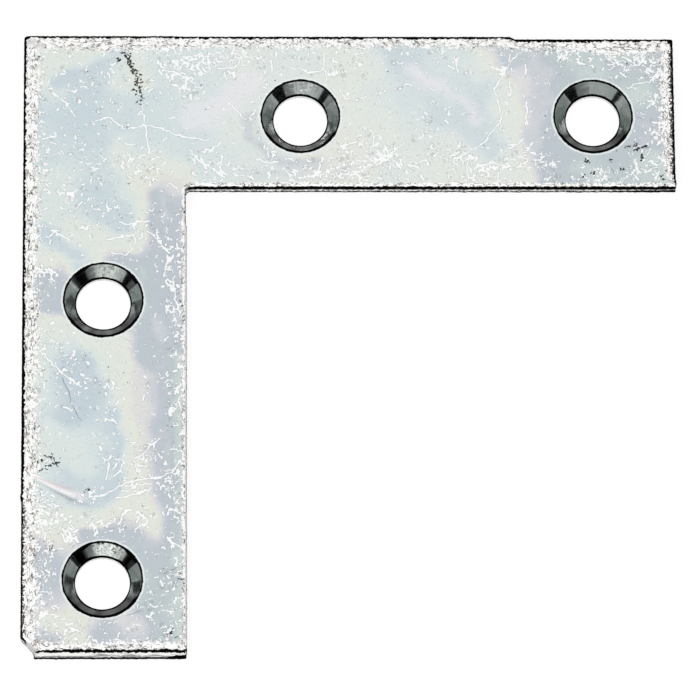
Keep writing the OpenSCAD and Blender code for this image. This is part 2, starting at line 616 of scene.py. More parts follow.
edge_rows = []
roll_foot = THICK - roll
for turn in np.radians(ROLL_TURNS):
    depth = roll * (1 - math.sin(turn))
    edge_rows.append(add_edge_row(depth, roll_foot + roll * math.cos(turn), depth))
for share in (*WALL_STEPS, 0.0):
    z = roll_foot * share
    depth = wall_depth(z) + (0.0 if share else FOOT_IN)
    edge_rows.append(add_edge_row(depth, z, z - roll_foot))
for k in range(len(edge_rows) - 1):
    add_edge_faces(k, FACE if k < len(ROLL_TURNS) - 1 else WALL)
print("the edge has", len(edge_rows), "rows and", len(skin["faces"]), "faces")

# %% [markdown]
# ## The countersinks
#
# Each hole is turned: a softened rim, a 90 degree cone for the screw's head, and a short
# straight land. A drill never cuts quite round, so the rings wander by a few hundredths of a
# millimetre, and fine turning marks run round the cone. The side towards the stile arm's end is
# painted dark in all four, a painted shade. The top is painted darker as well, and so are its two
# borders, a painted shade beside the dark wedges, more in one cone than in another, so a note
# called shade says how much shade is painted at each place. Two more notes say how bright the
# streaks at the top are and how thickly flakes of zinc lie on the cone. The top lies a few
# degrees to the right of the middle. A flat ring round the rim belongs to the hole as well.

# %% Build the four countersinks
AROUND = 150
HALO = 0.3
CONE_ROWS = 9
TOP_TURN = 7


def sink_profile():
    """The turned profile as radius and height, from the face down to the back."""
    rim_x = SINK_R + RIM_R * math.tan(math.radians(22.5))
    arc = [(rim_x + RIM_R * math.cos(math.radians(t)), THICK - RIM_R + RIM_R * math.sin(math.radians(t)))
           for t in (90, 101, 112, 124, 135)]
    start_r, start_z = arc[-1]
    cone = [(start_r + (HOLE_R - start_r) * k / CONE_ROWS, start_z + (LAND - start_z) * k / CONE_ROWS)
            for k in range(1, CONE_ROWS + 1)]
    land = [(HOLE_R, LAND - 0.05), (HOLE_R, LAND / 2), (HOLE_R, 0.06), (HOLE_R + 0.05, 0.0)]
    return [(rim_x + HALO, THICK)] + arc + cone + land, rim_x


profile, rim_x = sink_profile()
CONES = [
    # painted shade at the top, painted shade at the borders of the top, streaks, flakes
    (0.36, 0.35, 0.30, 1.0),
    (0.36, 0.20, 0.00, 0.12),
    (0.30, 0.80, 1.00, 0.0),
    (0.26, 0.70, 0.55, 0.0),
]
turn = np.arange(AROUND) * 2 * np.pi / AROUND
ways = np.column_stack([np.cos(turn), np.sin(turn)])
off_top = np.abs(np.degrees(np.arctan2(ways[:, 0], ways[:, 1])) - TOP_TURN)


def cone_shade(number, top_shade, border_shade):
    """How much shade is painted on the cone at each place round it. The finish reads it as shade."""
    lower_side = np.clip((-ways[:, 1] - 0.24) / 0.32, 0, 1)
    borders = np.clip((off_top - 16) / 26, 0, 1) * (off_top < 55)
    lower_side *= 0.9 * (1 + 0.1 * ripple(5 * ways, 2.0, 80 + number))
    return lower_side + top_shade * ways[:, 1].clip(0) + border_shade * borders


def ring_radius(number, k, radius, z):
    """The radius round ring k: the drill wandered, less so at the land, and chattered."""
    wander = 0.022 * ripple(5 * ways, 7.0, 20 + number) + 0.01 * ripple(5 * ways, 1.6, 30 + number)
    share = 0.0 if k == 0 else (1.0 if z > LAND else 0.35)
    helix = np.column_stack([5 * ways, np.full(AROUND, 4 * radius)])
    chatter = 0.005 * ripple(helix, 1.5, 40 + number)
    return radius + wander * share + chatter * (LAND < z < THICK - 0.1)


def add_countersink(number, middle):
    """All rings of one hole and the faces between them. Its first and last ring come back."""
    top_shade, border_shade, streaks, flakes = CONES[number]
    shade = cone_shade(number, top_shade, border_shade)
    streaky = streaks * np.clip(1.3 - off_top / 30, 0, 1)
    rows, maps = [], []
    for k, (radius, z) in enumerate(profile):
        r = ring_radius(number, k, radius, z)
        ring = np.column_stack([middle + ways * r[:, None], np.full(AROUND, z)])
        rows.append(add_points(ring, rim=r - rim_x, edge=9.0, band=1.0, along=5 * turn, film=0.8,
                               shade=shade if k else 0.0, streak=streaky, flake=flakes))
        shown_r = r if z >= LAND else np.full(AROUND, HOLE_R - (LAND - z) * 0.8)
        spots = on_map(middle + ways * shown_r[:, None])
        maps.append(np.vstack([spots, spots[:1]]))
    for k in range(len(profile) - 1):
        add_band(rows[k], rows[k + 1], maps[k], maps[k + 1], CONE if k else FACE)
    return rows[0], rows[-1]


mouths, feet = zip(*[add_countersink(number, middle) for number, middle in enumerate(holes)])
print(len(holes), "countersinks of", len(profile), "rings")

# %% [markdown]
# ## Scratches, flecks and pits
#
# Parts like this are plated, tumbled and shipped loose in a bag, so their faces are covered in
# fine scratches. Each one is cut into the mesh as a narrow strip: two borders and a centre line
# that lies a hair deeper. The long ones are listed one by one, to a few tenths of a millimetre.
# The short ones are strewn at random, closest where the plate has been knocked about most.

# %% The scratches that are listed one by one
SCRATCHES = [
    # around the corner
    [(-6.5, 2.5), (-5, 1.2), (-3.5, -1)], [(-2, -1.5), (0.5, -0.8), (2.5, -2.5)],
    [(2.5, -2.5), (5, -2), (6.5, -2.3), (8.5, -3), (10, -3.5), (13, -4)],
    [(4.5, 1.5), (5, -2.5), (5.5, -6)], [(-8, -3.8), (-5.5, -3.3)], [(2.5, -2.5), (3, -1.5)],
    [(2, -4.4), (4, -4.6)], [(12, 0.3), (13.5, 0.5)], [(12.5, 7.5), (13, 5)],
    [(7, 5.5), (10, 4.5), (11, 4.2)], [(10, 4.5), (9.7, 2.5)], [(7.5, -9.3), (9.4, -10.6)],
    [(10, -5), (12.5, -7.5)], [(12, -5), (13.5, -5.5)], [(-7.5, -17), (-6, -16), (-4, -17.2)],
    # along the rail arm
    [(27, 8), (27, 5.5), (27.5, 3)], [(27.5, 4.5), (28.5, 5.5)], [(23.5, 6), (25, 5), (27, 5.5)],
    [(20.5, 7), (20.5, 5)], [(32.5, -2.2), (33, -3.6), (32.9, -5)],
    [(28.5, -4.6), (29.5, -4.5), (31, -4)], [(37, -4), (35, -5.8), (31.5, -7.7), (30, -8.8)],
    [(18.5, -6.3), (20, -6.8), (21.5, -6.8)], [(20, -5), (20, -6.5)],
    [(26.5, -5), (26.5, -6.5), (26, -9)], [(23.5, -8.8), (25.5, -8.8), (26.5, -8.2)],
    [(22, -7.5), (23, -9)], [(15.5, 1), (16.5, -0.3), (17.5, -1.3)], [(18, 0), (19, 0.3)],
    [(12.5, -5.8), (14.5, -3.8)], [(11.5, -6), (12.5, -7.3), (15, -9)],
    [(13.5, 5.7), (15.5, 5.6), (16.5, 6.2)], [(15.5, 5.5), (15.8, 4)], [(16, 7.5), (17.5, 6.3)],
    [(20, -8), (20.3, -9.3)], [(51, 8), (49.2, 5.2), (47.5, 6)], [(50, 8), (49.6, 6.3)],
    [(49.2, 5.1), (47.9, 3), (48.6, 0), (48.6, -3)],
    [(48.5, -1.5), (46.5, -4.2), (44, -5.8), (42, -6.8)], [(49.5, 4), (50, 3), (49.9, 1.6)],
    [(51.8, 6.5), (51.9, 4.5)], [(51.8, 1.6), (51.9, -0.3), (51.6, -2.2)], [(43.2, 6.5), (43.6, 4.8)],
    [(36.4, -6), (36, -9)], [(36.5, -6.8), (38.5, -7.7)], [(44.5, -6.5), (44.4, -8), (44.6, -9.3)],
    [(46.5, -7.7), (47.6, -9.2)], [(47.2, -6.7), (49, -7.4)], [(43.4, -4), (43.7, -5)],
    [(49, -4.5), (50.5, -4.5), (51.5, -3.5)], [(50, -7.7), (52, -6.4)], [(36.4, 3.6), (38, 3.4)],
    [(55.5, 6.5), (57, 7.8), (58.5, 8.4)], [(62, 7), (63, 6.2)], [(58, 6.5), (59.5, 6)],
    [(64, 3), (65, 3.6), (67, 3.9), (68.2, 5)], [(51, -6.3), (52, -6.5)],
    # along the stile arm
    [(-8, -21.2), (-6.5, -21), (-5.4, -21.8)], [(0, -17), (1.5, -16.8), (3.5, -16.3)],
    [(3.5, -16.3), (3.8, -17.5), (2.6, -19), (1, -18.8), (0.7, -18.2)], [(1, -18.8), (1, -19.8)],
    [(1.5, -14.4), (2.4, -15), (5.7, -14.6)], [(3.4, -14.8), (3.6, -16)],
    [(4.8, -15.7), (6, -16.4), (8, -19)], [(6.2, -15.6), (6.6, -17)],
    [(8, -19), (7.4, -20.8), (7.3, -22.2)], [(8.4, -13.4), (9.6, -14)], [(5.5, -9), (5.5, -10.3)],
    [(8.5, -17.3), (9.6, -18.8)], [(8.4, -15.6), (9.6, -16)], [(-3.1, -30.5), (-2.7, -29.5)],
    [(8.4, -21.5), (8.6, -24.8), (9.3, -27.4)], [(-8.3, -31), (-6, -33.5), (-4.5, -35), (-2.5, -36.3)],
    [(-8, -41.6), (-7.5, -42.4)], [(0.5, -40), (2, -41.2)], [(-2.5, -35.2), (-1.6, -35)],
    [(7, -42.6), (5.4, -44.1), (4, -45.5)], [(4.8, -43.7), (6, -43.6), (5.8, -44.6)],
    [(0.6, -45.7), (0.5, -47), (0.2, -48.4)], [(2, -45.5), (2.4, -46), (2, -47), (0.5, -48.3)],
    [(3.8, -45.7), (4, -47), (5, -48.3)],
    [(9.4, -45.5), (8.5, -47), (7, -47.8), (2.8, -48.5), (-0.6, -50.4)],
    [(6, -49.2), (2.8, -50.3), (1, -50.5)], [(2.3, -49), (6, -48.7)], [(7.6, -44.2), (9.4, -44.4)],
    [(-8, -53), (-6.8, -55.8)], [(-5, -54.2), (-4, -56.5)], [(-1.3, -53.7), (-1.2, -55)],
    [(1.6, -54.2), (2.2, -53.3)], [(3.3, -54.7), (4.9, -53.9), (5.2, -53.2)],
    [(6.8, -60.7), (7.1, -61.7)], [(-8, -66), (-6.9, -65.2), (-5, -65.7)], [(-4, -67), (-2.8, -67.5)],
    [(8.3, -52.7), (9.5, -54)], [(8.4, -56.2), (9.3, -56.9)], [(3.6, -66.5), (4.7, -67)],
    [(2, -53.5), (2.6, -52), (3.6, -51.8)], [(3.8, -52.3), (5, -53), (5.3, -53.6), (4.2, -54.7)],
    [(-2, -50.4), (0.4, -50.2)], [(-6.5, -51.2), (-5.2, -51.5)],
    # more on the rail arm
    [(33, -7.5), (34.5, -6.2)], [(30.5, -6.5), (32.5, -6.8)], [(29, -8.3), (31.5, -8.6)],
    [(31.5, -5.6), (33.2, -7)], [(61.5, 8), (63, 6.5), (64.2, 5.8)],
    [(63.5, 7.5), (65.5, 6.2), (67, 6.8)], [(65.8, 7.8), (66.6, 6.2)], [(56, 8.2), (56.6, 6.5)],
    [(13.5, -6.8), (15.2, -8.8)], [(8, 6.8), (9.4, 5.6)], [(11.4, 6.6), (10.2, 7.4)],
]
DOTTED = [
    [(28.8, 1.1), (30.6, 1.3), (32.4, 2), (34.2, 2.6), (36, 2.9), (38, 3.4)],
    [(-8.3, -32), (-7, -37)], [(-8.4, -21.4), (-7.4, -21.3), (-5.6, -21.9)],
]
DARK_LINES = [
    [(-5.2, -34.8), (-4.3, -36.8), (-4, -38.3), (-3.3, -39.6), (-2.6, -41)],
    [(-8.1, -34.3), (-7, -33.9)], [(-5.8, -55.4), (-5.1, -54.8)],
    [(2, -65.7), (3.5, -65.3), (4.9, -64.7)], [(6.8, -60.3), (9.2, -59.3)], [(64.9, -0.4), (66.5, -1.2)],
    [(62.1, -7.3), (62.3, -8), (62.7, -8.6)],
]
DARK_DOTS = [
    (1.7, 6.7), (-0.6, -9.2), (-0.4, -2), (0, -2.1), (2.6, -2.2), (-0.6, -5.7), (64.5, 6.2),
    (65.9, -5.8), (9.4, -24.3), (-7.1, -35.5), (-6.6, -35.1), (0.4, -33.7), (-2.1, -49.4), (7.1, -59.6),
    (54, -0.7), (46.4, -4.6), (-6.6, -57), (-5.8, -57.3), (12.3, 0.2), (11.7, 3.4), (54, -2.9),
    (-2, -28.2), (56, 6.8), (59.7, 7.9), (2.7, -35.7), (8.1, -41.4), (20.8, 4), (34.7, 5.2),
    (41.8, -8.3), (-2.3, 5.2),
]
PIT_TRAILS = [
    # points along the trail, how far the pits stray from it, how many there are
    ([(2.4, 7.7), (2.8, 6.8)], 0.20, 30), ([(2.9, 6.6), (3.3, 5.8), (3.5, 5)], 0.15, 36),
    ([(3.9, 5.4), (4.1, 4.6), (4, 3.9), (3.8, 3.4)], 0.26, 36),
    ([(4.1, 3.4), (4.2, 2.4), (4.4, 1.2)], 0.24, 28), ([(1.5, 6.9), (1.8, 6.7)], 0.10, 8),
    ([(-7.9, -46.9), (-6.9, -46.6), (-6.2, -46.2), (-5.2, -45.7)], 0.08, 20),
    ([(-7.7, -45.8), (-6.9, -45.1), (-6, -45.3)], 0.22, 16),
    ([(62.3, -5.2), (63.2, -4.9), (64.5, -4.6)], 0.13, 18),
    ([(65, -4.1), (65.2, -5), (66.6, -4.5)], 0.13, 15), ([(58.9, -6.4), (59.3, -6.9)], 0.08, 8),
    ([(59.7, -8.1), (60, -8.3)], 0.10, 7), ([(58.6, -8.6), (59, -8.6)], 0.10, 5),
    ([(65.8, -6.1), (66.1, -6.3)], 0.09, 9), ([(62, -6.2), (62.1, -6.7)], 0.08, 6),
    ([(63, -7.6), (63.6, -7.6)], 0.08, 5), ([(68, -8.6), (68.8, -9)], 0.18, 8),
    ([(7.2, -68.1), (8.4, -67.5), (8.8, -68.3)], 0.22, 14), ([(9.3, -60), (9.4, -61.2)], 0.15, 9),
    ([(9.3, -24.5), (9.4, -25.6)], 0.12, 6), ([(-2.4, -49.6), (-2, -49.4)], 0.15, 4),
    ([(-7.2, -56.4), (-6, -57.4)], 0.25, 9),
]
print(len(SCRATCHES), "scratches,", len(DARK_LINES), "dark lines,", len(DARK_DOTS), "dots")

# %% [markdown]
# A dent runs in from the left edge of the stile arm, above the lower hole. Something dragged
# across the face there. It is a shallow groove that widens along its length. The zinc in it is
# tinted pink, with a painted white highlight over its lower half, a faint rust stain follows its
# upper border, and below it, along the metal that was pushed up, a thin blue shadow is painted.
# Seams beside it, which leave no mark of their own, make the mesh fine enough there.

# %% The dent
DENT = [(-9.2, -47.3), (-7.2, -48.4), (-5.3, -49.3), (-3.6, -50.0), (-1.3, -50.6)]
DENT_WIDTH = (0.14, 0.68)
DENT_SEAMS = (-1.9, -1.2, -0.5, 0.2, 0.9, 1.6)


def sideways(path):
    """The way to the left at each point of a path."""
    ahead = np.gradient(path, axis=0)
    return np.stack([-ahead[:, 1], ahead[:, 0]], 1) / np.linalg.norm(ahead, axis=1, keepdims=True)


def dent_seam(shift):
    """The dent's path moved sideways by that many of its own widths."""
    path = np.array(DENT)
    return path + shift * sideways(path) * np.linspace(*DENT_WIDTH, len(path))[:, None]


# %% [markdown]
# A strip is a row of centre points with a half width at each. The width comes to nothing at
# both ends. The centre wavers a little, so that no scratch looks ruled.


# %% Turn a mark into a strip
def strip_along(points, width, draw, pitch=0.45, waver=0.05):
    """Centre points and half widths of a mark along the given points."""
    points = np.asarray(points, float)
    centres = [points[0]]
    for a, b in zip(points, points[1:]):
        parts = max(1, round(float(np.linalg.norm(b - a)) / pitch))
        centres += [a + (b - a) * j / parts for j in range(1, parts + 1)]
    centres = np.array(centres)
    if len(centres) == 2:
        centres = np.array([centres[0], centres.mean(0), centres[1]])
    centres[1:-1] += draw.normal(0, waver, (len(centres) - 2, 2))
    half = width / 2 * draw.uniform(0.6, 1.25, len(centres))
    half[0] = half[-1] = 0.0
    return centres, half


# %% [markdown]
# Flecks are short strips. A list of places says where they crowd: the number is how many fall
# inside that radius. A list of trails says along which lines they follow each other. More of them
# lie just inside the rough bands along the edges, and a few stray ones anywhere.

# %% Strew the flecks and the pits
CROWDS = [
    # x, y, radius, flecks
    (9.5, 5, 3, 46), (8, 6.5, 2, 16), (12, 6.5, 2.2, 20), (15.5, 6.3, 2.4, 20), (10, 3, 1.5, 9),
    (-1.5, 4.3, 2, 10), (1.5, 4.5, 2, 7), (-5.5, 4, 2, 7), (-5, 1.5, 2, 7), (0.5, 0, 2.5, 8),
    (5.5, 2.5, 2, 6), (-2, -6.5, 2.6, 18), (3, -6.8, 2.2, 20), (-0.5, -9, 2, 9), (-6.5, -6, 2, 6),
    (-4, -3, 2.5, 6), (6, -5.5, 1.5, 7), (5.5, -8.5, 1.5, 8), (9, -1, 3, 5), (12.5, -7.5, 2.4, 24),
    (16.5, -8.3, 2, 12), (20, -7.5, 2, 16), (24.5, -8.5, 2.6, 26), (27.5, -8, 1.6, 14),
    (30.5, -8, 2.4, 36), (33.5, -6.5, 2.6, 40), (31.5, -4, 2, 10), (29.5, -5.5, 1.5, 7),
    (18.5, 0, 1.6, 8), (28.5, 4, 1.6, 8), (23.5, 6.5, 2.5, 9), (28, 7, 2, 10), (31.5, 6.5, 2.2, 11),
    (19.5, 6.5, 2, 8), (35, -5.5, 1.8, 11), (38.5, -7, 2.2, 22), (38.8, -2, 1.8, 9), (41, -4, 2, 10),
    (43.5, -6, 2.2, 24), (45.5, -8, 2, 22), (48, -7.5, 2.2, 24), (51, -6, 2, 20), (42, -0.5, 2, 5),
    (48.5, 6, 1.8, 10), (50, 3, 1.2, 5), (36, 7, 2, 8), (43.5, 6.5, 2, 7), (56.5, 7.6, 1.8, 12),
    (60, 7.6, 2.4, 13), (64.5, 6.8, 2.4, 28), (67.5, 5.5, 1.8, 18), (67.8, 1.5, 1.6, 14),
    (67.5, -3.5, 1.6, 11), (67, -7.5, 2, 18), (61, -8.8, 1.3, 24), (64.9, -8, 0.9, 10),
    (58.5, -8.2, 1.6, 9), (54, -7.5, 2, 15), (65, -5, 1.2, 6), (64.8, 1.5, 1.2, 5), (-4.5, -11, 2.6, 20),
    (-1.5, -12.8, 2, 12), (-7, -13.5, 1.6, 6), (-5.5, -16.5, 1.6, 7), (-1.5, -16, 2, 8),
    (0.5, -13, 1.6, 7), (3.5, -15.5, 2.2, 13), (6, -13.5, 1.5, 6), (7, -16.5, 1.6, 10),
    (-7, -22, 1.5, 10), (-7, -27, 1.4, 5), (-6.5, -30.5, 1.8, 9), (-4.2, -33.2, 2, 16),
    (-2.6, -36, 1.8, 11), (-5.5, -38.5, 1.8, 6), (0.8, -35.5, 1.6, 8), (0.6, -39.5, 2, 9),
    (5, -36, 2, 5), (1, -45.5, 1.6, 8), (4.8, -45, 2.4, 26), (7.5, -48, 2, 16), (3, -48.8, 1.8, 11),
    (-1.5, -50.3, 1.8, 11), (-7, -51.5, 1.5, 13), (-7, -54, 1.5, 13), (-5, -52.8, 1.5, 13),
    (-3.8, -55.6, 1.8, 20), (-1, -53.8, 1.8, 14), (1.5, -54, 1.8, 10), (4, -53.5, 2, 10),
    (8.5, -52, 1.6, 9), (8, -56.5, 1.6, 9), (8.3, -60.5, 1.6, 9), (6.5, -62.5, 1.6, 7),
    (5.5, -65, 2, 15), (8.5, -65, 1.6, 9), (0, -67, 2, 7), (-3.5, -67.5, 1.8, 13), (3.5, -68, 1.8, 7),
    (7.5, -68, 1.6, 11), (-6.5, -66, 1.6, 8), (-7.3, -60, 1.4, 10), (-7.3, -63, 1.3, 7),
    (-6.6, -57.5, 1.2, 8),
]
FLECK_TRAILS = [
    # points along the trail, how far the flecks stray from it, how many there are
    ([(7.6, -17.5), (7.9, -21), (7.6, -26.5)], 0.35, 46),
    ([(9, -26.5), (9.2, -30), (8.9, -34)], 0.4, 44), ([(7.7, -34.5), (7.8, -38), (8, -42)], 0.15, 20),
    ([(9.4, -18), (9.3, -26)], 0.25, 22), ([(9, -35), (9.2, -46)], 0.4, 24),
    ([(8.8, -47), (9.2, -58), (9, -68)], 0.45, 30),
    ([(20, 4.5), (19, 2), (18.6, -1), (19, -3.5), (20.5, -6)], 0.25, 18),
    ([(29, 4), (29.6, 1), (29.4, -2)], 0.25, 8), ([(10, 9), (14, 7.4), (18, 7.8), (30, 7.6)], 0.7, 40),
    ([(-8, 6), (-8.2, -8), (-8, -20)], 0.5, 34),
]
EDGE_FLECKS = 280
STRAY_FLECKS = 60
STRAY_PITS = 40
BACK_FLECKS = 260

# Length and width of one piece of a mark, by where the mark lies
TRAIL_FLECK = (0.32, 0.42)
CROWD_FLECK = (0.33, 0.42)
EDGE_FLECK = (0.30, 0.38)
STRAY_FLECK = (0.22, 0.32)
BACK_FLECK = (0.50, 0.24)
TRAIL_PIT = (0.12, 0.24)
STRAY_PIT = (0.08, 0.16)
DOT_REACH = (0.22, 0.12)

draw = np.random.default_rng(9)
marks = []


def add_mark(points, width, kind, **how):
    centres, half = strip_along(points, width, draw, **how)
    marks.append((centres, half, kind))


def short_mark(place, size, kind):
    """A mark of up to four short pieces that starts at the place and wanders off."""
    long, width = size
    way = draw.uniform(0, 2 * np.pi)
    points = [np.asarray(place, float)]
    for _ in range(draw.integers(1, 5)):
        way += draw.normal(0, 0.8)
        points.append(points[-1] + long * draw.uniform(0.5, 1.2) * np.array([math.cos(way), math.sin(way)]))
    add_mark(points, width * draw.uniform(0.7, 1.3), kind, pitch=9.0, waver=0.02)


def strew_along(path, stray, count, size, kind):
    """That many short marks near a path."""
    path = np.array(path, float)
    for _ in range(count):
        k = draw.integers(0, len(path) - 1)
        spot = path[k] + (path[k + 1] - path[k]) * draw.uniform() + draw.normal(0, stray, 2)
        short_mark(spot, size, kind)


def strew_round(x, y, reach, count, size, kind):
    """That many short marks inside a circle, closest in its middle."""
    for _ in range(count):
        turn, far = draw.uniform(0, 2 * np.pi), reach * draw.uniform() ** 0.7
        short_mark((x + far * math.cos(turn), y + far * math.sin(turn)), size, kind)


def strew_anywhere(count, size, kind):
    """That many short marks in the square round the plate. Those that miss it are dropped later."""
    for _ in range(count):
        x = draw.uniform(1 - HALF, RAIL_END - 1)
        short_mark((x, draw.uniform(STILE_END + 1, HALF - 1)), size, kind)


def add_dashes(path):
    """Three dashes on each stretch of a path."""
    for a, b in zip(np.array(path), path[1:]):
        for share in (0.05, 0.38, 0.7):
            start = a + (b - a) * share
            add_mark([start, start + (b - a) * 0.26], 0.6, "fleck")


# %% Lay out all the marks
for path in SCRATCHES:
    add_mark(path, 0.38, "fleck", pitch=0.35, waver=0.08)
for shift in DENT_SEAMS:
    add_mark(dent_seam(shift), 0.2, "seam", pitch=0.3, waver=0.0)
for path in DOTTED:
    add_dashes(path)
for path in DARK_LINES:
    add_mark(path, 0.075, "pit")
for spot in DARK_DOTS:
    add_mark([spot, np.add(spot, DOT_REACH)], 0.26, "pit", waver=0.0)
for path, stray, count in PIT_TRAILS:
    strew_along(path, stray, count, TRAIL_PIT, "pit")
for path, stray, count in FLECK_TRAILS:
    strew_along(path, stray, count, TRAIL_FLECK, "fleck")
for crowd in CROWDS:
    strew_round(*crowd, CROWD_FLECK, "fleck")
for _ in range(EDGE_FLECKS):
    k = draw.integers(0, len(edge_line))
    inside = widths[k, 1] * draw.uniform(0.8, 1.7) + draw.exponential(0.5)
    short_mark(edge_line[k] - outward[k] * inside, EDGE_FLECK, "fleck")
strew_anywhere(STRAY_FLECKS, STRAY_FLECK, "fleck")
strew_anywhere(STRAY_PITS, STRAY_PIT, "pit")
print(len(marks), "marks in all")

# %% [markdown]
# The strips must not cross the face's own border, or the skin would crack there. So each mark
# is cut to its longest run that lies well inside the plate and clear of the holes.

# %% Keep the marks on the face
AT_ONCE = 1000


def in_parts(work, places):
    """What the work finds for the places, done on some of them at a time to save memory."""
    return np.concatenate([work(places[k:k + AT_ONCE]) for k in range(0, len(places), AT_ONCE)])


def inside_ring(places, ring):
    """True where a place lies inside a closed ring."""
    x, y = np.asarray(places, float).T[:, :, None]
    (ax, ay), (bx, by) = ring.T[:, None, :], np.roll(ring, -1, axis=0).T[:, None, :]
    crosses = (ay > y) != (by > y)
    at = ax + (y - ay) / np.where(by == ay, 1e-9, by - ay) * (bx - ax)
    return (crosses & (x < at)).sum(1) % 2 == 1


def from_line(places, ring):
    """The distance of each place from a closed ring, and the ring's nearest point."""
    after = np.roll(ring, -1, axis=0) - ring

    def far_and_nearest(part):
        off = part[:, None, :] - ring[None, :, :]
        t = ((off * after).sum(2) / (after ** 2).sum(1)).clip(0, 1)
        far = np.linalg.norm(off - t[:, :, None] * after, axis=2)
        return np.column_stack([far.min(1), far.argmin(1)])

    far, nearest = in_parts(far_and_nearest, places).T
    return far, nearest.astype(int)


def clear_of_holes(places, gap):
    far = np.min([np.linalg.norm(places - middle, axis=1) for middle in holes], axis=0)
    return far > rim_x + HALO + gap


def free_points(strips, ring, gap):
    """For each strip, which of its points lie inside the ring by that gap and clear of holes."""
    every = np.vstack([centres for centres, half, kind in strips])
    free = inside_ring(every, ring) & clear_of_holes(every, 0.15)
    free &= from_line(every, ring)[0] > gap
    ends = np.cumsum([len(centres) for centres, half, kind in strips])
    return np.split(free, ends[:-1])


def longest_run(strip, free):
    """The strip's longest run of free points, if there are three or more in a row."""
    centres, half, kind = strip
    turns = np.flatnonzero(np.diff(np.concatenate([[0], free, [0]])))
    runs = [(a, b) for a, b in zip(turns[::2], turns[1::2]) if b - a >= 3]
    if not runs:
        return []
    a, b = max(runs, key=lambda run: run[1] - run[0])
    half = half[a:b].copy()
    half[0] = half[-1] = 0.0
    return [(centres[a:b], half, kind)]


free = free_points(marks, edge_line, roll.max() + 0.2)
marks = [run for mark, good in zip(marks, free) for run in longest_run(mark, good)]
print(len(marks), "marks lie on the face")

# %% [markdown]
# ## The face
#
# The flat face is a triangulation of everything that has a place on it: the inner row of the
# rolled edge, the mouths of the holes, the strips of the marks, and loose points in between. A
# constrained Delaunay triangulation keeps all the given lines as edges of the mesh.


# %% Triangulate between the rings, the strips and the loose points
NEAREST = 0.12


def lay_ring(ring, places, lines):
    first = len(places)
    places += ring.tolist()
    lines += [(first + k, first + (k + 1) % len(ring)) for k in range(len(ring))]


def lay_strip(strip, places, lines):
    """The centre line and the two borders of a strip, which share its ends."""
    centres, half, kind = strip
    side = sideways(centres) * half[:, None]
    start, end = len(places), len(places) + 1
    places += [centres[0].tolist(), centres[-1].tolist()]
    for chain in (centres, centres + side, centres - side):
        inner = range(len(places), len(places) + len(chain) - 2)
        places += chain[1:-1].tolist()
        run = [start, *inner, end]
        lines += list(zip(run, run[1:]))


def loose_points(rings, taken, spacing, seed):
    """Points strewn over the plate about that far apart, clear of the rings and taken places."""
    outer, *inner_rings = rings
    columns, rows = np.arange(-HALF, RAIL_END, spacing), np.arange(STILE_END, HALF, spacing)
    grid = np.stack(np.meshgrid(columns, rows), -1).reshape(-1, 2)
    loose = grid + np.random.default_rng(seed).uniform(-0.3, 0.3, grid.shape) * spacing
    loose = loose[inside_ring(loose, outer)]
    loose = loose[from_line(loose, outer)[0] > 0.3 * spacing]
    for ring in inner_rings:
        middle = ring.mean(0)
        clear = np.linalg.norm(ring[0] - middle) + 0.3 * spacing
        loose = loose[np.linalg.norm(loose - middle, axis=1) > clear]

    def far(part):
        return np.linalg.norm(part[:, None] - taken[None], axis=2).min(1)

    return loose[in_parts(far, loose) > NEAREST]


def facing_up(flat, faces):
    """The triangles with their corners in turn to the left, so that all of them face up."""
    a, b, c = flat[faces].transpose(1, 0, 2)
    (ux, uy), (vx, vy) = (b - a).T, (c - a).T
    turned = ux * vy - uy * vx < 0
    faces[turned] = faces[turned][:, ::-1]
    return faces


def triangulate(rings, strips, spacing, seed):
    """Points and triangles of the flat plate between the rings, and which points are the rings'."""
    places, lines = [], []
    for ring in rings:
        lay_ring(ring, places, lines)
    fixed = len(places)
    for strip in strips:
        lay_strip(strip, places, lines)
    places += loose_points(rings, np.array(places), spacing, seed).tolist()
    out = delaunay_2d_cdt([Vector(p) for p in places], lines, [], 0, 1e-5)
    flat, faces, sources = np.array([tuple(p) for p in out[0]]), np.array(out[2]), out[3]
    found_as = {old: new for new, olds in enumerate(sources) for old in olds}
    middles = flat[faces].mean(1)
    inside = in_parts(lambda part: inside_ring(part, rings[0]), middles)
    for ring in rings[1:]:
        inside &= ~inside_ring(middles, ring)
    return flat, facing_up(flat, faces[inside]), [found_as[k] for k in range(fixed)]


inner, mouth_rings = places_of(edge_rows[0]), [places_of(mouth)[::-1] for mouth in mouths]
flat, triangles, ring_places = triangulate([inner, *mouth_rings], marks, 0.62, 3)
print(len(flat), "points and", len(triangles), "triangles on the face")
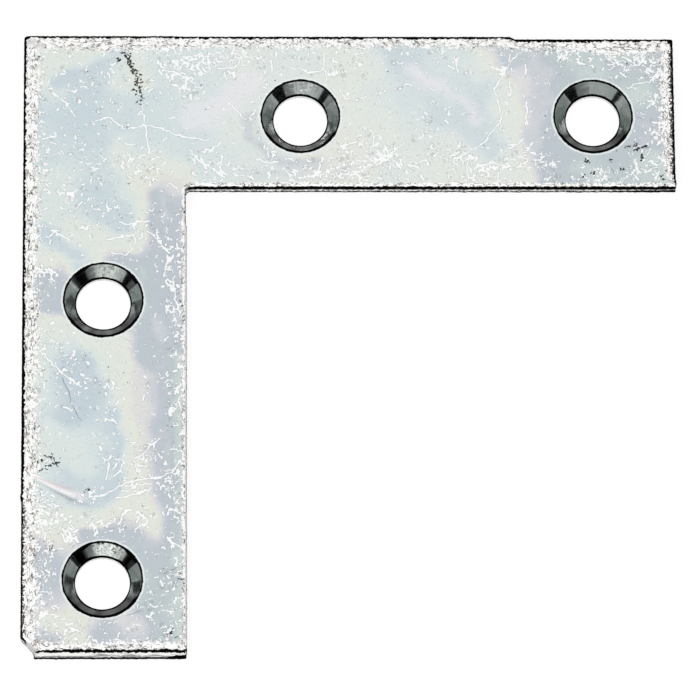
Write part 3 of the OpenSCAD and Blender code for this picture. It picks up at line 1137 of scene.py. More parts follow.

# %% [markdown]
# ## What the paint needs to know
#
# Blue passivated zinc is a clear film a fraction of a wavelength thick, so its tint shows its
# thickness: blue, pale green, cream, lilac and back to blue. Where the film is thicker or
# thinner was judged at a scatter of places, and every point takes a weighted mean of the
# places near it. Where the film changes along a line, a stroke of one thickness goes over that.
# Blooms are places that are paler or dimmer than the film alone would be. A gentle waver keeps
# all the borders from looking drawn.

# %% How thick the film is
FILM = [
    # x, y, film: 0 deep blue, 0.3 pale teal, 0.46 cream, 0.6 pink, 0.8 lilac, 1 teal grey
    (-8, 7, 0.42), (-6.5, 7.6, 0.44), (-4.2, 7.6, 0.44), (-2.6, 7.4, 0.42), (-7, 5.5, 0.44),
    (-3.6, 6.5, 0.42), (-7.3, 3.9, 0.8), (-6.3, 3.8, 0.1), (-4.4, 4.8, 0.12), (-2.6, 5.4, 0.12),
    (-1, 6.4, 0.1), (-0.4, 7.6, 0.12), (-6.8, -46.6, 0.36), (-4.4, -47.2, 0.12), (-3, -48, 0.1),
    (-0.8, -51.6, 0.05), (-6.8, -49.8, 0.28), (-5, 6.5, 0.42), (-8, 2, 0.15), (-2.5, 0.5, 0.12),
    (0.5, 6.5, 0.16), (-3.5, -2.5, 0.15), (-6.5, -5, 0.2), (2, 0, 0.2), (2.5, 5, 0.46),
    (-7.5, -12, 0.42), (-5.5, -9, 0.34), (-2, -9, 0.22), (0.5, -12, 0.18), (2, -14, 0.15),
    (-1.5, -14, 0.28), (4.5, -6.5, 0.4), (4.5, -9.5, 0.46), (7.5, -7.5, 0.44), (6.5, -10, 0.6),
    (8, -13, 0.8), (7.5, -16, 0.78), (5.5, -14, 0.62), (3, -17, 0.5), (0, -18, 0.47), (-7, -15, 0.3),
    (-5, -17.5, 0.12), (-3, -19, 0.1), (-8.5, -18.5, 0.4), (-6.5, -21.5, 0.86), (-7, -24.5, 0.87),
    (-5, -26.5, 0.8), (2.5, -20, 0.9), (5.5, -21, 0.88), (6, -24, 0.8), (7, -26.5, 0.72),
    (5.5, -29, 0.76), (6, -31.5, 0.8), (-7, -28.5, 0.45), (-1.5, -30.5, 0.42), (2, -31.5, 0.46),
    (-6, -31, 0.3), (-3.5, -33, 0.1), (-3, -36, 0), (-1.5, -38.5, 0.04), (-5.5, -38.5, 0.16),
    (-6.5, -42, 0.3), (-3.5, -41, 0.16), (0, -40.5, 0.16), (-1.5, -44, 0.3), (-4.5, -44.5, 0.32),
    (-2.5, -46.5, 0.33), (1, -44, 0.15), (1.5, -47, 0.14), (-0.5, -49.5, 0.12), (-1, -51.5, 0.16),
    (1, -34.5, 0.36), (2, -38, 0.45), (3, -42.5, 0.45), (3.5, -46.5, 0.45), (4, -50, 0.47),
    (6, -52, 0.46), (7, -54.5, 0.46), (3.5, -35, 0.56), (4.5, -37.5, 0.6), (5, -41, 0.62),
    (5.5, -45, 0.66), (6, -49, 0.66), (6.5, -36.5, 0.76), (6.5, -42, 0.76), (7, -47, 0.81),
    (7.5, -52, 0.84), (8, -30, 0.86), (9, -34.5, 0.96), (9, -41, 1), (9, -49, 1), (9, -56.5, 1),
    (9, -63.5, 1.04), (-8, -43, 0.42), (-8.5, -37.5, 0.4), (-8, -31.5, 0.42), (-7.5, -50, 0.3),
    (-5.5, -51, 0.28), (-6.5, -53, 0.43), (-3.5, -53, 0.46), (-0.5, -53, 0.5), (2, -53.5, 0.66),
    (-5.5, -55.5, 0.5), (-7, -57.5, 0.8), (-6.5, -60.5, 0.86), (-7, -62.5, 0.78), (-7, -64, 0.62),
    (-4.5, -66, 0.47), (-3, -66.5, 0.52), (-7, -67, 0.62), (-7.5, -69, 0.9), (-1.5, -55, 0.86),
    (1.5, -55.5, 0.85), (4.5, -56.5, 0.8), (6.5, -58.5, 0.86), (7, -61.5, 0.9), (6.5, -64, 0.93),
    (7, -66.5, 0.95), (3.5, -66.5, 0.64), (1, -67.5, 0.82), (9, -68.5, 1), (8, 6.5, 0.3),
    (12.5, 6.5, 0.32), (11.5, 4, 0.27), (9, 0, 0.22), (8, -4, 0.25), (11.5, -4.5, 0.25),
    (5.5, -2.5, 0.24), (10.5, 0.5, 0.34), (15, -3, 0.38), (14.5, -6.5, 0.3), (16.5, -7.5, 0.34),
    (20.5, 5.5, 0.36), (24, 7, 0.34), (18, 5.5, 0.42), (28, 6.5, 0.43), (30, 4.5, 0.47),
    (31.5, -1.5, 0.46), (30, -4, 0.5), (33, 6.5, 0.45), (31.5, -7, 0.5), (34, 2.5, 0.35),
    (33, -3.5, 0.41), (34.5, -7.5, 0.36), (35, 7.5, 0.1), (36.5, 6.5, 0.08), (38.5, 6, 0.16),
    (37.5, 3.5, 0.25), (40, 1, 0.28), (36.5, -2.5, 0.35), (41.5, 6.5, 0.3), (44, 5, 0.24),
    (46, 2.5, 0.14), (45, -2, 0.15), (47.5, -4, 0.16), (47.5, 6, 0.43), (49, 1, 0.4), (49.5, -3, 0.36),
    (50, -7, 0.43), (43.5, -5.5, 0.42), (40, -7, 0.42), (46.5, -7.5, 0.43), (42.5, -9, 0.46),
    (49.5, 8, 0.94), (53, 8, 0.92), (52, 4, 0.6), (53.5, 4.5, 0.63), (52, 1, 0.66), (50.5, -2, 0.57),
    (51, -5.5, 0.6), (53.5, 0, 0.85), (53.5, -3, 0.85), (54.5, -5.5, 0.85), (56, -7.5, 0.86),
    (57.5, -9, 0.92), (56.5, 4.5, 0.92), (58, 6, 1), (61.5, 6, 1), (63.5, 5, 0.95), (66, 5, 0.87),
    (68, 4.5, 0.85), (66, 2.5, 1.1), (65.5, 7, 1.04), (67, -0.5, 0.85), (67.5, -3, 0.8),
    (66, -3.5, 0.85), (66.5, -6, 1.08), (68, -7.5, 1.08), (63.5, -6.5, 0.87), (61.5, -7.5, 0.95),
    (60.5, -9, 1), (64.5, -8.5, 1),
]
SPREAD = 1.2

# %% Strokes over the film
STROKES = [
    # film, half width, path
    (0.34, 1.6, [(-7.2, -11), (-6.9, -13.5), (-5.2, -15.2)]),
    (0.13, 2.2, [(-1.5, -11), (0.2, -12.5), (1.3, -14.3)]),
    (0.42, 1.3, [(-3.9, -15.6), (-0.3, -16.8), (3.6, -17.6)]),
    (0.44, 0.9, [(3.8, -17.8), (4.7, -15.4), (4.9, -11.5)]),
    (0.40, 1.0, [(-3.5, -15.9), (-2.4, -18), (-1, -20)]),
    (0.12, 1.1, [(-7.6, -15.9), (-5.6, -17.6), (-3.4, -19.4)]),
    (0.86, 1.4, [(-8.6, -21.6), (-6.8, -23), (-8, -25.4)]),
    (0.43, 0.4, [(-9, -19.6), (-6.9, -20), (-2.8, -20.4)]),
    (0.44, 0.8, [(-9, -27.2), (-5.9, -27.8), (-3.8, -28.7), (-1.3, -30.3)]),
    (0.84, 1.7, [(6.6, -12), (7.8, -17.5), (7.3, -24.1), (5.6, -29.5), (5.3, -32)]),
    (0.98, 0.4, [(4.6, -21.2), (5.3, -23.8), (5.3, -26), (4.2, -28.4)]),
    (0.02, 2.1, [(-3.2, -33.4), (-2.4, -37), (-3.8, -39.6)]),
    (0.33, 1.7, [(-6.8, -42.5), (-3.8, -43.8), (-2.6, -46.4)]),
    (0.08, 0.7, [(0.9, -39.5), (1.8, -43.5), (1.8, -46.8), (0.8, -49.8), (-1.2, -51.4), (-3.7, -51)]),
    (0.46, 0.8, [(-0.3, -30.6), (1.9, -33.3), (2.4, -37.1), (3, -41.4), (3.3, -45.2), (4, -48.9),
                 (5.3, -52.1)]),
    (0.58, 0.6, [(4.3, -33.4), (4.5, -38.2), (4.9, -42.5)]),
    (0.82, 0.9, [(6.6, -32), (7.1, -38.2), (6.7, -43.5), (7.3, -48.9), (7.9, -54.2), (8, -57.4)]),
    (1.04, 0.7, [(9.3, -32), (9.2, -47.8), (9.4, -55.8), (9.3, -63.8), (9, -68)]),
    (0.45, 0.9, [(-7.9, -52.7), (-5.7, -53.5), (-2.2, -53.6), (0.3, -52.6)]),
    (0.47, 1.1, [(1.8, -51.6), (4, -52.4), (6.2, -54.4)]),
    (0.86, 0.7, [(-2.4, -55.2), (0.8, -54.8), (3.6, -55.4)]),
    (0.84, 1.1, [(-7.8, -57), (-7.2, -60.1), (-7.8, -62.6)]),
    (0.98, 0.4, [(3.7, -56.4), (5.2, -59), (5.3, -61.6), (4.2, -64.6)]),
    (0.46, 0.8, [(-7.6, -65.7), (-5.6, -66.5), (-3.9, -67.2)]),
    (0.60, 0.6, [(2.3, -65.7), (3.8, -66.7)]),
    (0.42, 1.7, [(-8.6, 6.1), (-5.4, 7), (-2.9, 7.8), (-0.8, 8.9)]),
    (0.08, 0.7, [(-6.6, 3.6), (-3.6, 4.6), (-0.8, 6)]),
    (0.36, 1.0, [(1.5, 5.6), (2.5, 3.8), (3.2, 2.8)]),
    (0.45, 1.1, [(29.3, 7.6), (30.2, 4.8)]),
    (0.42, 1.8, [(32.2, 0), (34.8, -2.9), (35.6, -5.6)]),
    (0.10, 0.7, [(34.6, 7.7), (36.2, 6.6), (38, 5.8)]),
    (0.16, 1.3, [(40.2, 0.4), (43.1, -1.3), (45.6, -3.2), (47.4, -4.8)]),
    (0.42, 1.0, [(49.3, 2.5), (50.3, -1), (50, -5), (49.6, -7.6)]),
    (0.38, 1.0, [(44.5, 6.2), (46.5, 4.6)]),
    (0.72, 1.3, [(52.8, 7.2), (54, 4.4), (53.6, -0.1), (53.2, -3.4)]),
    (0.84, 1.1, [(54.6, -2.6), (55.2, -5), (54.9, -8)]),
    (0.78, 0.9, [(65.9, -1.4), (67.1, -2.8), (66.2, -3.8)]),
    (0.80, 0.5, [(62.7, 6.3), (66, 5.6), (68.6, 4.9)]),
    (1.02, 1.2, [(58, 6.6), (60.3, 5.6)]),
    (1.02, 1.3, [(57.4, -7.6), (60.6, -8)]),
]
BLOOMS = [
    # strength, pale above 0 and dim below, half width, path
    (0.8, 1.9, [(10.5, -0.9), (13, -0.2), (15.6, 1.6), (18.2, 3.6)]), (0.5, 1.2, [(14, 6.4), (17, 5)]),
    (0.5, 1.0, [(29.3, 1.4), (29.6, -1.5)]),
    (1.0, 0.9, [(38, 5.2), (40.8, 3.4), (43.8, 1.4), (45.6, -0.9)]),
    (-0.9, 0.8, [(17.7, -0.6), (17.9, -3.2), (19.8, -5.6), (22.4, -6.8), (26, -6.8)]),
    (-0.5, 1.0, [(17, -7.8), (22, -8.6), (27, -8.6), (29.5, -8)]),
    (-0.5, 0.5, [(41.5, 2), (44.5, -0.4)]), (0.5, 1.0, [(6.4, -27.5), (7, -30)]),
    (-0.6, 0.7, [(63, 5.6), (66.5, 5), (69, 4.6)]), (0.5, 0.8, [(7, -11.5), (7.4, -14)]),
    (-0.6, 0.8, [(-8.3, -22.4), (-7.6, -25)]), (-0.6, 0.8, [(-7.6, -58), (-7, -61)]),
    (0.4, 1.2, [(1, 9), (4, 7), (7, 8)]), (0.5, 0.9, [(-3.2, -29.6), (-0.6, -29.9)]),
]


# %% Distances from paths and marks
def along_path(places, path):
    """For each place: the signed distance from a path, and how far along it lies, 0 to 1."""
    path = np.array(path, float)
    parts = np.linalg.norm(np.diff(path, axis=0), axis=1)
    best, share = np.full(len(places), 1e9), np.zeros(len(places))
    for k, (a, b) in enumerate(zip(path, path[1:])):
        way = (b - a) / parts[k]
        run = (places - a) @ way
        held = run.clip(0, parts[k])
        off = places - a - held[:, None] * way
        side = way[0] * off[:, 1] - way[1] * off[:, 0]
        far = np.linalg.norm(off, axis=1)
        nearer = far < np.abs(best)
        best = np.where(nearer, np.where(side < 0, -far, far), best)
        share = np.where(nearer, (parts[:k].sum() + held) / parts.sum(), share)
    return best, share


def wavered(places):
    """The places pushed about a little, which makes the tints' borders wander."""
    return places + np.stack([ripple(places, 4.0, 50), ripple(places, 4.0, 51)], 1) * 0.35


def brushed(places, half, path, softness):
    """How much a stroke of that half width covers each place."""
    off = np.abs(along_path(places, path)[0])
    return np.clip((1.1 * half + softness / 2 - off) / (0.3 * half + softness), 0, 1)


def film_at(places):
    """The film's thickness at each place: the spots' mean, then the strokes in turn."""
    spots = np.array(FILM)
    moved = wavered(places)
    far = np.linalg.norm(moved[:, None] - spots[None, :, :2], axis=2)
    weight = np.exp(-(far / SPREAD) ** 2 / 2) + 1e-4 / (1 + far ** 4)
    found = (weight * spots[:, 2]).sum(1) / weight.sum(1)
    for film, half, path in STROKES:
        found += (film - found) * brushed(moved, half, path, 0.6)
    return found


def bloom_at(places):
    """How much paler each place is than its film alone. Below nothing it is dimmer."""
    moved = wavered(places)
    return sum(strength * brushed(moved, half, path, 1.2) for strength, half, path in BLOOMS)


def mark_depth(places, strips, kind):
    """How deep inside a mark of this kind each place lies, 0 at its border and 1 on its line."""
    found = np.zeros(len(places))
    for centres, half, what in strips:
        if what != kind:
            continue
        low, high = centres.min(0) - 0.3, centres.max(0) + 0.3
        near = np.flatnonzero(((places >= low) & (places <= high)).all(1))
        for a, b, wide_a, wide_b in zip(centres, centres[1:], half, half[1:]):
            way = b - a
            t = ((places[near] - a) @ way / (way @ way)).clip(0, 1)
            far = np.linalg.norm(places[near] - a - t[:, None] * way, axis=1)
            wide = wide_a + (wide_b - wide_a) * t
            depth = (1 - far / np.maximum(wide, 1e-6)).clip(0) * (wide / half.max()).clip(0, 1) ** 0.3
            found[near] = np.maximum(found[near], depth)
    return found


def dent_at(places):
    """How much each place is part of the dent, its pushed-up lip with its painted shadow, its pink blush
    with its painted highlight, and its stain.
    """
    across, share = along_path(places, DENT)
    across = across / (DENT_WIDTH[0] + (DENT_WIDTH[1] - DENT_WIDTH[0]) * share)
    ends = np.clip(share / 0.08, 0, 1) * np.clip((1 - share) / 0.3, 0, 1)
    dent = np.exp(-across ** 4) * ends
    lip_shade = np.exp(-((across + 1.55) / 0.4) ** 2) * ends * np.clip(share * 2.5 - 0.5, 0, 1)
    blush = dent * np.clip(0.75 - 0.35 * across, 0, 1)
    stain = np.exp(-((across - 0.75) / 0.4) ** 2) * ends * np.clip((0.8 - share) / 0.2, 0, 1)
    return dent, lip_shade, blush, stain


def crowd_at(places):
    """How closely the flecks lie round each place."""
    found = np.zeros(len(places))
    for x, y, reach, count in CROWDS:
        off = (places[:, 0] - x) ** 2 + (places[:, 1] - y) ** 2
        found += count / reach ** 2 / 5 * np.exp(-1.5 * off / reach ** 2)
    return found


# %% [markdown]
# The relief is a few hundredths of a millimetre: a slow unevenness, the dent and its lip, and the
# bottoms of the marks. It settles to nothing beside the edge and the holes, where the face meets
# the rows that are there already. The notes go to the new points, and the rings' own points learn
# their film and their distance from a hole.

# %% Give the face its relief and its notes
DENT_DEPTH = 0.06
LIP_HEIGHT = 0.03
FLECK_DEPTH = 0.012
PIT_DEPTH = 0.04
SETTLE = 0.6

edge_far, nearest = from_line(flat, edge_line)
rim_far = np.min([np.linalg.norm(flat - middle, axis=1) for middle in holes], axis=0) - rim_x
fleck, pit = [mark_depth(flat, marks, kind) for kind in ("fleck", "pit")]
dent, lip_shade, blush, stain = dent_at(flat)
relief = 0.006 * ripple(flat, 9.0, 60) + 0.002 * ripple(flat, 2.0, 61)
relief += LIP_HEIGHT * lip_shade - DENT_DEPTH * dent - FLECK_DEPTH * fleck - PIT_DEPTH * pit
relief *= ((edge_far - roll[nearest]) / SETTLE).clip(0, 1) * ((rim_far - HALO) / SETTLE).clip(0, 1)


def numbers_of(flat, ring_places, first, others):
    """The numbers that the rings' places have already, -1 elsewhere, and where those are."""
    numbers = np.full(len(flat), -1)
    numbers[ring_places] = np.concatenate([first, *[ring[::-1] for ring in others]])
    return numbers, np.flatnonzero(numbers < 0)


numbers, new = numbers_of(flat, ring_places, edge_rows[0], mouths)
line, band, grit = widths[nearest].T
notes = {"film": film_at(flat), "bloom": bloom_at(flat), "edge": edge_far, "along": travel[nearest],
         "line": line, "band": band, "grit": grit, "crowd": crowd_at(flat), "fleck": fleck,
         "pit": pit, "rim": rim_far, "blush": blush, "rust": stain, "shade": lip_shade}
numbers[new] = add_points(np.column_stack([flat, THICK + relief])[new],
                          **{name: note[new] for name, note in notes.items()})
for place, number in zip(ring_places, numbers[ring_places]):
    skin["film"][number] = notes["film"][place]
    skin["rim"][number] = rim_far[place]
add_triangles(numbers, triangles, on_map(flat))

# %% [markdown]
# The back lies on the table and nobody has seen it. It gets the same plating with a few strewn
# scratches, and stays flat, because it is what the brace is screwed down on.

# %% The back
draw = np.random.default_rng(12)
marks = []
strew_anywhere(BACK_FLECKS, BACK_FLECK, "fleck")
foot_ring, foot_holes = places_of(edge_rows[-1]), [places_of(foot)[::-1] for foot in feet]
free = free_points(marks, foot_ring, 0.3)
marks = [mark for mark, good in zip(marks, free) if good.all()]
flat, triangles, ring_places = triangulate([foot_ring, *foot_holes], marks, 1.5, 4)
numbers, new = numbers_of(flat, ring_places, edge_rows[-1], feet)
numbers[new] = add_points(
    np.column_stack([flat[new], np.zeros(len(new))]), film=0.5 + 0.35 * ripple(flat[new], 16.0, 70),
    edge=from_line(flat[new], foot_ring)[0] + 0.1, band=0.7,
    fleck=mark_depth(flat[new], marks, "fleck"), rim=9.0)
add_triangles(numbers, triangles[:, ::-1], back_on_map(flat))
print(len(triangles), "triangles on the back")

# %% [markdown]
# ## From arrays to a Blender mesh
#
# `from_pydata` makes the mesh in one go. The notes become named attributes, which a material
# reads with an Attribute node, and the map gets the name that the export looks for.

# %% Make the skin
mesh = bpy.data.meshes.new("plated_skin")
mesh.from_pydata([tuple(0.001 * v for v in p) for p in skin["points"]], [], skin["faces"])
mesh.polygons.foreach_set("material_index", skin["finish"])
mesh.polygons.foreach_set("use_smooth", [True] * len(skin["faces"]))
layer = mesh.uv_layers.new(name="OFBake")
layer.uv.foreach_set("vector", np.array(skin["map"], np.float32).ravel())
for name in NOTES:
    note = mesh.attributes.new(name, "FLOAT", "POINT")
    note.data.foreach_set("value", np.array(skin[name], np.float32))
mesh.update()
plate = bpy.data.objects.new("plated_skin", mesh)
bpy.context.scene.collection.objects.link(plate)
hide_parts(PLATE)
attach(plate, "root")
print("the skin has", len(mesh.vertices), "points,", len(mesh.polygons), "faces,",
      sum(len(f) - 2 for f in skin["faces"]), "triangles; cracks:", mesh.validate(verbose=False))

# %% [markdown]
# ## Zinc plate
#
# The face is metal, so its colour is the colour of its reflection. A ramp turns the film's
# thickness into a tint. Over it lie the marks, each a share of a plainer colour: the scoured band
# with its curly dark threads, the flecks where fresh zinc scatters the light, each with a thin
# painted grey shadow round it, the pits and grit painted near black, the painted black line on
# the rolled edge, which stands for a dark reflection, a painted black ring and a painted pale
# highlight round each hole, and, where the edge's line is below nothing, a roll painted pale and
# matt, a painted highlight. The threads are the borders of Voronoi cells that a noise has bent,
# and the hooked flecks are a noise's own contour lines. Dirt and painted light are no metal.

# %% The tints of the film
FILM_TINTS = [
    (0.0, (0.545, 0.630, 0.680)),
    (0.12, (0.590, 0.680, 0.715)),
    (0.26, (0.685, 0.760, 0.750)),
    (0.36, (0.745, 0.790, 0.735)),
    (0.42, (0.765, 0.785, 0.710)),
    (0.50, (0.715, 0.710, 0.710)),
    (0.58, (0.625, 0.650, 0.685)),
    (0.68, (0.515, 0.565, 0.612)),
    (0.78, (0.505, 0.575, 0.600)),
    (0.88, (0.590, 0.665, 0.655)),
    (1.0, (0.665, 0.740, 0.700)),
]
FILM_RANGE = 1.2


def in_mm(r):
    """The object's own coordinates in millimetres."""
    coords = r.node("TexCoord", output="Object")
    return r.node("VectorMath", {"operation": "SCALE"}, {"Vector": coords, "Scale": 1000.0})


def bend(r, place, per_mm, reach):
    """The coordinates pushed about by a noise, so that a regular pattern loses its order."""
    push = r.node("TexNoise", {}, {"Vector": place, "Scale": per_mm, "Detail": 1.0}, "Color")
    push = r.node("VectorMath", {"operation": "SCALE"}, {"Vector": push, "Scale": reach})
    return r.node("VectorMath", {"operation": "ADD"}, {0: place, 1: push})


def curl(r, place, per_mm, seed, width, detail=1.5):
    """Thin winding lines: the places where a noise passes its middle value."""
    return r.step((r.noise(place, per_mm, seed, detail) - 0.5).abs(), width, width * 0.4)


# %% The film's tint, with what changes it from place to place
def film_tint(r, place, middle, fine, grain, broad):
    film = r.note("film") + (broad - 0.5) * 0.14 + (middle - 0.5) * 0.10 + (fine - 0.5) * 0.05
    tint = r.node("ValToRGB", {"stops": FILM_TINTS}, {"Fac": film / FILM_RANGE}, "Color")
    x = r.axis(place, "X")
    faded = r.step(x, 8.0, 14.0) * r.step(x, 54.0, 50.0)
    tint = r.mix(faded * 0.18, tint, paint(0.80, (0.97, 1.0, 1.01)))
    bloom = r.note("bloom") + (middle - 0.5) * 0.3
    tint = r.mix(r.step(bloom, 0.1, 1.1) * 0.95, tint, paint(0.80, (0.985, 0.99, 1.025)))
    tint = r.mix(r.step(bloom, -0.1, -1.1) * 0.95, tint, paint(0.61, (0.945, 1.0, 1.06)))
    tint = r.mix(r.step(grain, 0.35, 0.8) * 0.08, tint, paint(0.95))
    tint = r.mix(r.step(r.noise(place, 3.3, 17, 2), 0.52, 0.72) * 0.10, tint, paint(0.42))
    # The dent: a pink tint, and a painted white highlight over its lower half.
    blush = r.note("blush")
    tint = r.mix(r.step(blush, 0.1, 0.5) * 0.85, tint, paint(0.82, (1.0, 0.955, 1.0)))
    tint = r.mix(r.step(blush, 0.6, 0.9) * 0.85, tint, paint(0.94))
    tint = r.mix(r.note("rust") * 0.5, tint, paint(0.56, (1.0, 0.76, 0.70)))
    # A painted blue shadow below the dent's lip.
    return r.mix(r.note("shade") * 0.75, tint, paint(0.33, (0.85, 1.0, 1.06)))


# %% Dirt in pits and as grit, and painted dark lines along the rolled edge and round the holes
def dirt_and_shade_on(r, place, edge, line, grain):
    pit = r.step(r.note("pit") + (grain - 0.5) * 0.6, 0.2, 0.45)
    grit = r.note("grit")
    strewn = r.noise(place, 3.6, 18, 2) + (edge / (grit + 0.001) - 1.0) * 0.22
    specks = r.step(strewn, 0.50, 0.44) * r.step(grit, 0.02, 0.08)
    beads = r.waver(place, 1.0, 11, 3, 0.44) + r.waver(place, 2.4, 12, 2, 0.56)
    # A painted dark reflection: the black line on the rolled edge.
    painted_edge_line = r.step(edge + beads * (0.25 + line * 2.4), line + 0.03, line - 0.03)
    # Painted shade: a black ring round each hole's rim.
    painted_rim_line = r.step(r.note("rim") + r.waver(place, 1.8, 20, 2, 0.24), 0.06, 0.0)
    return painted_edge_line.most(painted_rim_line).most(pit * 0.95).most(specks * 0.9)


# %% The plated face, the rolled edge and the back
def zinc_face():
    r = Recipe(bpy.data.materials.new("blue_zinc"))
    place = in_mm(r)
    edge, line, band = r.note("edge"), r.note("line"), r.note("band")
    broad, middle = r.noise(place, 0.35, 1, 3), r.noise(place, 1.1, 16, 3)
    fine, grain = r.noise(place, 2.6, 2, 3), r.noise(place, 6.0, 3, 2)
    tint = film_tint(r, place, middle, fine, grain, broad)

    ragged = r.waver(place, 0.8, 4, 3, 1.4) + r.waver(place, 3.0, 5, 3, 2.8)
    scour = r.step(edge / band + ragged, 1.25, 1.05)
    beside = r.node("CombineXYZ", {}, {"X": r.note("along") * 0.6, "Y": edge * 1.25})
    cells = r.node("TexVoronoi", {"feature": "DISTANCE_TO_EDGE"},
                   {"Vector": bend(r, beside, 1.9, 0.8), "Scale": 1.8}, "Distance")
    threads = r.step(cells, 0.11, 0.05) * r.step(r.noise(place, 1.1, 7, 2), 0.42, 0.54)
    threads = threads.most(curl(r, beside, 1.5, 19, 0.028) * r.step(middle, 0.44, 0.54))
    thread_colour = r.mix(r.step(fine, 0.48, 0.60), paint(0.36, (1.0, 0.94, 0.89)), paint(0.04))
    scoured = r.mix(threads * 0.9, paint(0.95, (1.0, 0.99, 0.975)), thread_colour)
    colour = r.mix(scour, tint, scoured)

    density = r.note("crowd") + r.step(edge / band, 2.6, 1.0) * 0.4 - 0.25
    spots = r.noise(place, 2.4, 8, 3) + density * 0.075
    pieces = r.step(r.noise(place, 1.5, 14, 2) + density * 0.11, 0.575, 0.62)
    bent = (r.noise(place, 1.2, 13, 2) - 0.5).abs()
    fleck = r.note("fleck")
    fleck = fleck + r.waver(place, 2.2, 10, 2, 0.9) * r.step(fleck, 0.0, 0.2)
    bright = r.step(fleck, 0.40, 0.58).most(r.step(spots, 0.69, 0.73))
    bright = bright.most(r.step(bent, 0.05, 0.022) * pieces)
    # A painted grey shadow round each fleck.
    fleck_shadow = r.step(fleck, 0.04, 0.22).most(r.step(spots, 0.64, 0.68))
    fleck_shadow = fleck_shadow.most(r.step(bent, 0.12, 0.05) * pieces)
    colour = r.mix(fleck_shadow * (1.0 - scour) * 0.31, colour, paint(0.24))
    colour = r.mix(bright * 0.95, colour, paint(0.95, (0.985, 1.0, 1.0)))
    # A painted highlight: a pale ring just outside each hole's rim.
    rim_highlight = r.step(r.note("rim") + (fine - 0.5) * 0.3, 0.36, 0.14)
    colour = r.mix(rim_highlight * 0.8, colour, paint(0.92, (0.955, 1.0, 0.985)))
    # Where the edge's line is below nothing, the roll is painted pale and matt: a painted highlight.
    painted_pale_roll = r.step(line, -0.01, -0.03) * r.step(edge, 0.28, 0.14)
    colour = r.mix(painted_pale_roll, colour, paint(0.68))

    dirt_and_shade = dirt_and_shade_on(r, place, edge, line, grain)
    # Pits, grit and the painted dark lines are black, and brown by the dent.
    dirt_and_shade_colour = r.mix(r.step(r.note("blush"), 0.02, 0.2), paint(0.003), paint(0.30, (1.0, 0.55, 0.42)))
    colour = r.mix(dirt_and_shade, colour, dirt_and_shade_colour)
    rough = 0.3 + scour * 0.2 + bright * 0.18 + (broad - 0.5) * 0.15
    height = scour * (cells + fine) * 0.5 + grain * 0.15 - bright * 0.4 - dirt_and_shade * 0.6
    return r.shader_out(r.metal(colour, dirt_and_shade.most(painted_pale_roll), rough, r.bump(height, 0.5, 0.03)))


# %% [markdown]
# ## The cut wall
#
# Seen from the side, the wall shows how it was cut. Its upper part is burnished, and it is
# painted near black, a painted dark reflection. The lower part broke, and the plating on that
# rough ground is grey with bright specks. The bottom edge is painted black, a painted shade where
# the wall meets the table, most of it at the two arms' far corners. Where the edge's line is
# below nothing, the wall is painted pale instead, a painted highlight. The sheared end has no
# burnished band: below a black line, painted shade in its torn pockets, its break is bright and
# drawn out in layers.

# %% The wall's finish
def stretched(r, place, along):
    """The coordinates scaled by that much each way, which draws a noise out."""
    return r.node("VectorMath", {"operation": "MULTIPLY"}, {0: place, 1: along})


def cut_wall():
    r = Recipe(bpy.data.materials.new("cut_zinc"))
    place, torn = in_mm(r), r.note("torn")
    height, x = r.axis(place, "Z"), r.axis(place, "X")
    coarse, fine = r.noise(place, 2.2, 1, 3), r.noise(place, 5.5, 2, 2)
    upright = r.noise(stretched(r, place, (1.0, 1.0, 0.25)), 5.0, 3, 2)
    layered = r.noise(stretched(r, place, (0.3, 1.0, 2.6)), 1.5, 5, 3)

    broken = r.mix(r.step(coarse + (fine - 0.5) * 0.5, 0.42, 0.60), paint(0.25), paint(0.86))
    # The burnished band's colour: near black, a painted dark reflection.
    dark_reflection = r.mix(r.step(upright, 0.45, 0.7), paint(0.002), paint(0.01))
    burnish_dark = r.step(height + r.waver(place, 1.2, 4, 2, 0.4), 0.92, 1.0) * (1.0 - torn)
    colour = r.mix(burnish_dark, broken, dark_reflection)
    # Where the edge's line is below nothing, the wall is painted pale: a painted highlight.
    painted_pale_wall = r.step(r.note("line"), 0.0, -0.03)
    colour = r.mix(painted_pale_wall, colour, paint(0.92, (1.0, 0.995, 0.98)))
    drawn = r.step(layered + (height - 0.9) * 0.35, 0.42, 0.54)
    shear = r.mix(drawn, paint(0.36, (0.98, 1.0, 0.97)), paint(0.93, (1.0, 0.995, 0.97)))
    colour = r.mix(torn, colour, shear)

    ragged = r.waver(place, 1.5, 6, 3, 1.1) + (fine - 0.5) * 0.4
    # Painted shade: a black line in the torn pockets at the sheared end.
    torn_pocket_shade = r.step(height + ragged, 1.36, 1.46) * torn
    # Painted shade along the foot, where the wall meets the table, wider at the far corners.
    corner = r.step(x, 7.0, 9.6) * torn + r.step(x, 60.0, 67.0) * 0.7
    foot = r.step(height + (coarse - 0.5) * 0.5 - corner * 0.5, 0.50, 0.36)
    dirt_and_shade = foot.most(torn_pocket_shade)
    colour = r.mix(dirt_and_shade, colour, paint(0.003))
    rough = 0.42 + coarse * 0.2 - burnish_dark * 0.2
    normal = r.bump(coarse + upright * 0.4, 0.7, 0.04)
    return r.shader_out(r.metal(colour, dirt_and_shade.most(burnish_dark).most(painted_pale_wall), rough, normal))
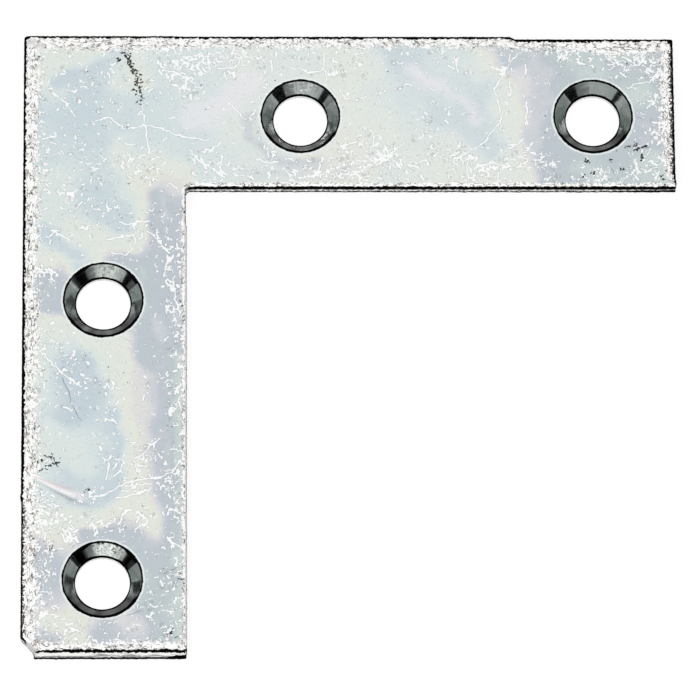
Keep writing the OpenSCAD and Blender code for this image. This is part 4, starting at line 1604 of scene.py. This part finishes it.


# %% [markdown]
# ## The countersink's finish
#
# The cone was cut by a drill and plated in its own shade, so it is darker than the face: a grey
# with a little green. Fine rings run round it, bright streaks run down its top, and here and
# there a bright flake sits. The shade note paints it darker where painted shade falls. Its rim and
# both edges of its land are painted black lines, painted shade that is wider where that note is
# strong, and the land between them is bright.

# %% The cone
def cone_finish():
    r = Recipe(bpy.data.materials.new("sink_zinc"))
    place = in_mm(r)
    height = r.axis(place, "Z")
    rim, shade, shine = r.note("rim"), r.note("shade"), r.note("streak")
    rings = r.node("TexNoise", {"noise_dimensions": "1D"},
                   {"W": rim * 6.0, "Scale": 1.0, "Detail": 2.0}, "Fac")
    cloud, fine = r.noise(place, 0.7, 1, 3), r.noise(place, 3.6, 2, 3)
    colour = r.mix(r.step(cloud * 0.5 + rings * 0.5, 0.35, 0.65),
                   paint(0.44, (0.89, 1.0, 0.95)), paint(0.53, (0.89, 1.0, 0.96)))
    # Painted shade from the shade note: darkest on the side towards the stile arm's end.
    colour = r.mix(shade, colour, paint(0.02, (1.04, 1.0, 1.0)))
    spokes = r.node("CombineXYZ", {}, {"X": r.note("along") * 2.4, "Y": rim * 0.8})
    bright = r.step(r.noise(spokes, 1.0, 5, 3) + (fine - 0.5) * 0.5, 0.40, 0.60)
    colour = r.mix(shine * (0.35 + bright * 0.6), colour, paint(0.95, (0.95, 1.0, 0.96)))
    speck = r.step(r.noise(place, 2.8, 6, 2) + r.step(rim, -1.4, -0.3) * 0.10, 0.62, 0.68)
    colour = r.mix(speck * shine * 0.9, colour, paint(0.01))
    flake = r.step(fine + (cloud - 0.5) * 0.9, 0.66, 0.71)
    colour = r.mix(flake * r.note("flake") * 0.75, colour, paint(0.85))

    uneven = (fine - 0.5) * 0.07
    level = height + uneven
    colour = r.mix(r.step(level, 0.46, 0.42), colour, paint(0.9))
    # Painted shade: black lines at the rim and at both edges of the land, wider where the shade note is
    # strong.
    mouth = r.step(rim + uneven * 1.6 + r.step(shade, 0.45, 0.95) * 0.24, -0.23, -0.18)
    lip_shade = r.step(level - shade * 0.14, 0.68, 0.64) * r.step(level, 0.40, 0.44)
    dirt_and_shade = mouth.most(lip_shade).most(r.step(level, 0.16, 0.12))
    colour = r.mix(dirt_and_shade, colour, paint(0.002))
    smears = r.node("CombineXYZ", {}, {"X": rim * 3.0, "Y": cloud * 4.0, "Z": height})
    rough = 0.09 + r.noise(smears, 1.0, 3, 2) * 0.06
    return r.shader_out(r.metal(colour, dirt_and_shade, rough, r.bump(rings + fine * 0.3, 0.2, 0.01)))


for finish in (zinc_face(), cut_wall(), cone_finish()):
    mesh.materials.append(finish)
    print(finish.name, "has", len(finish.node_tree.nodes), "nodes")
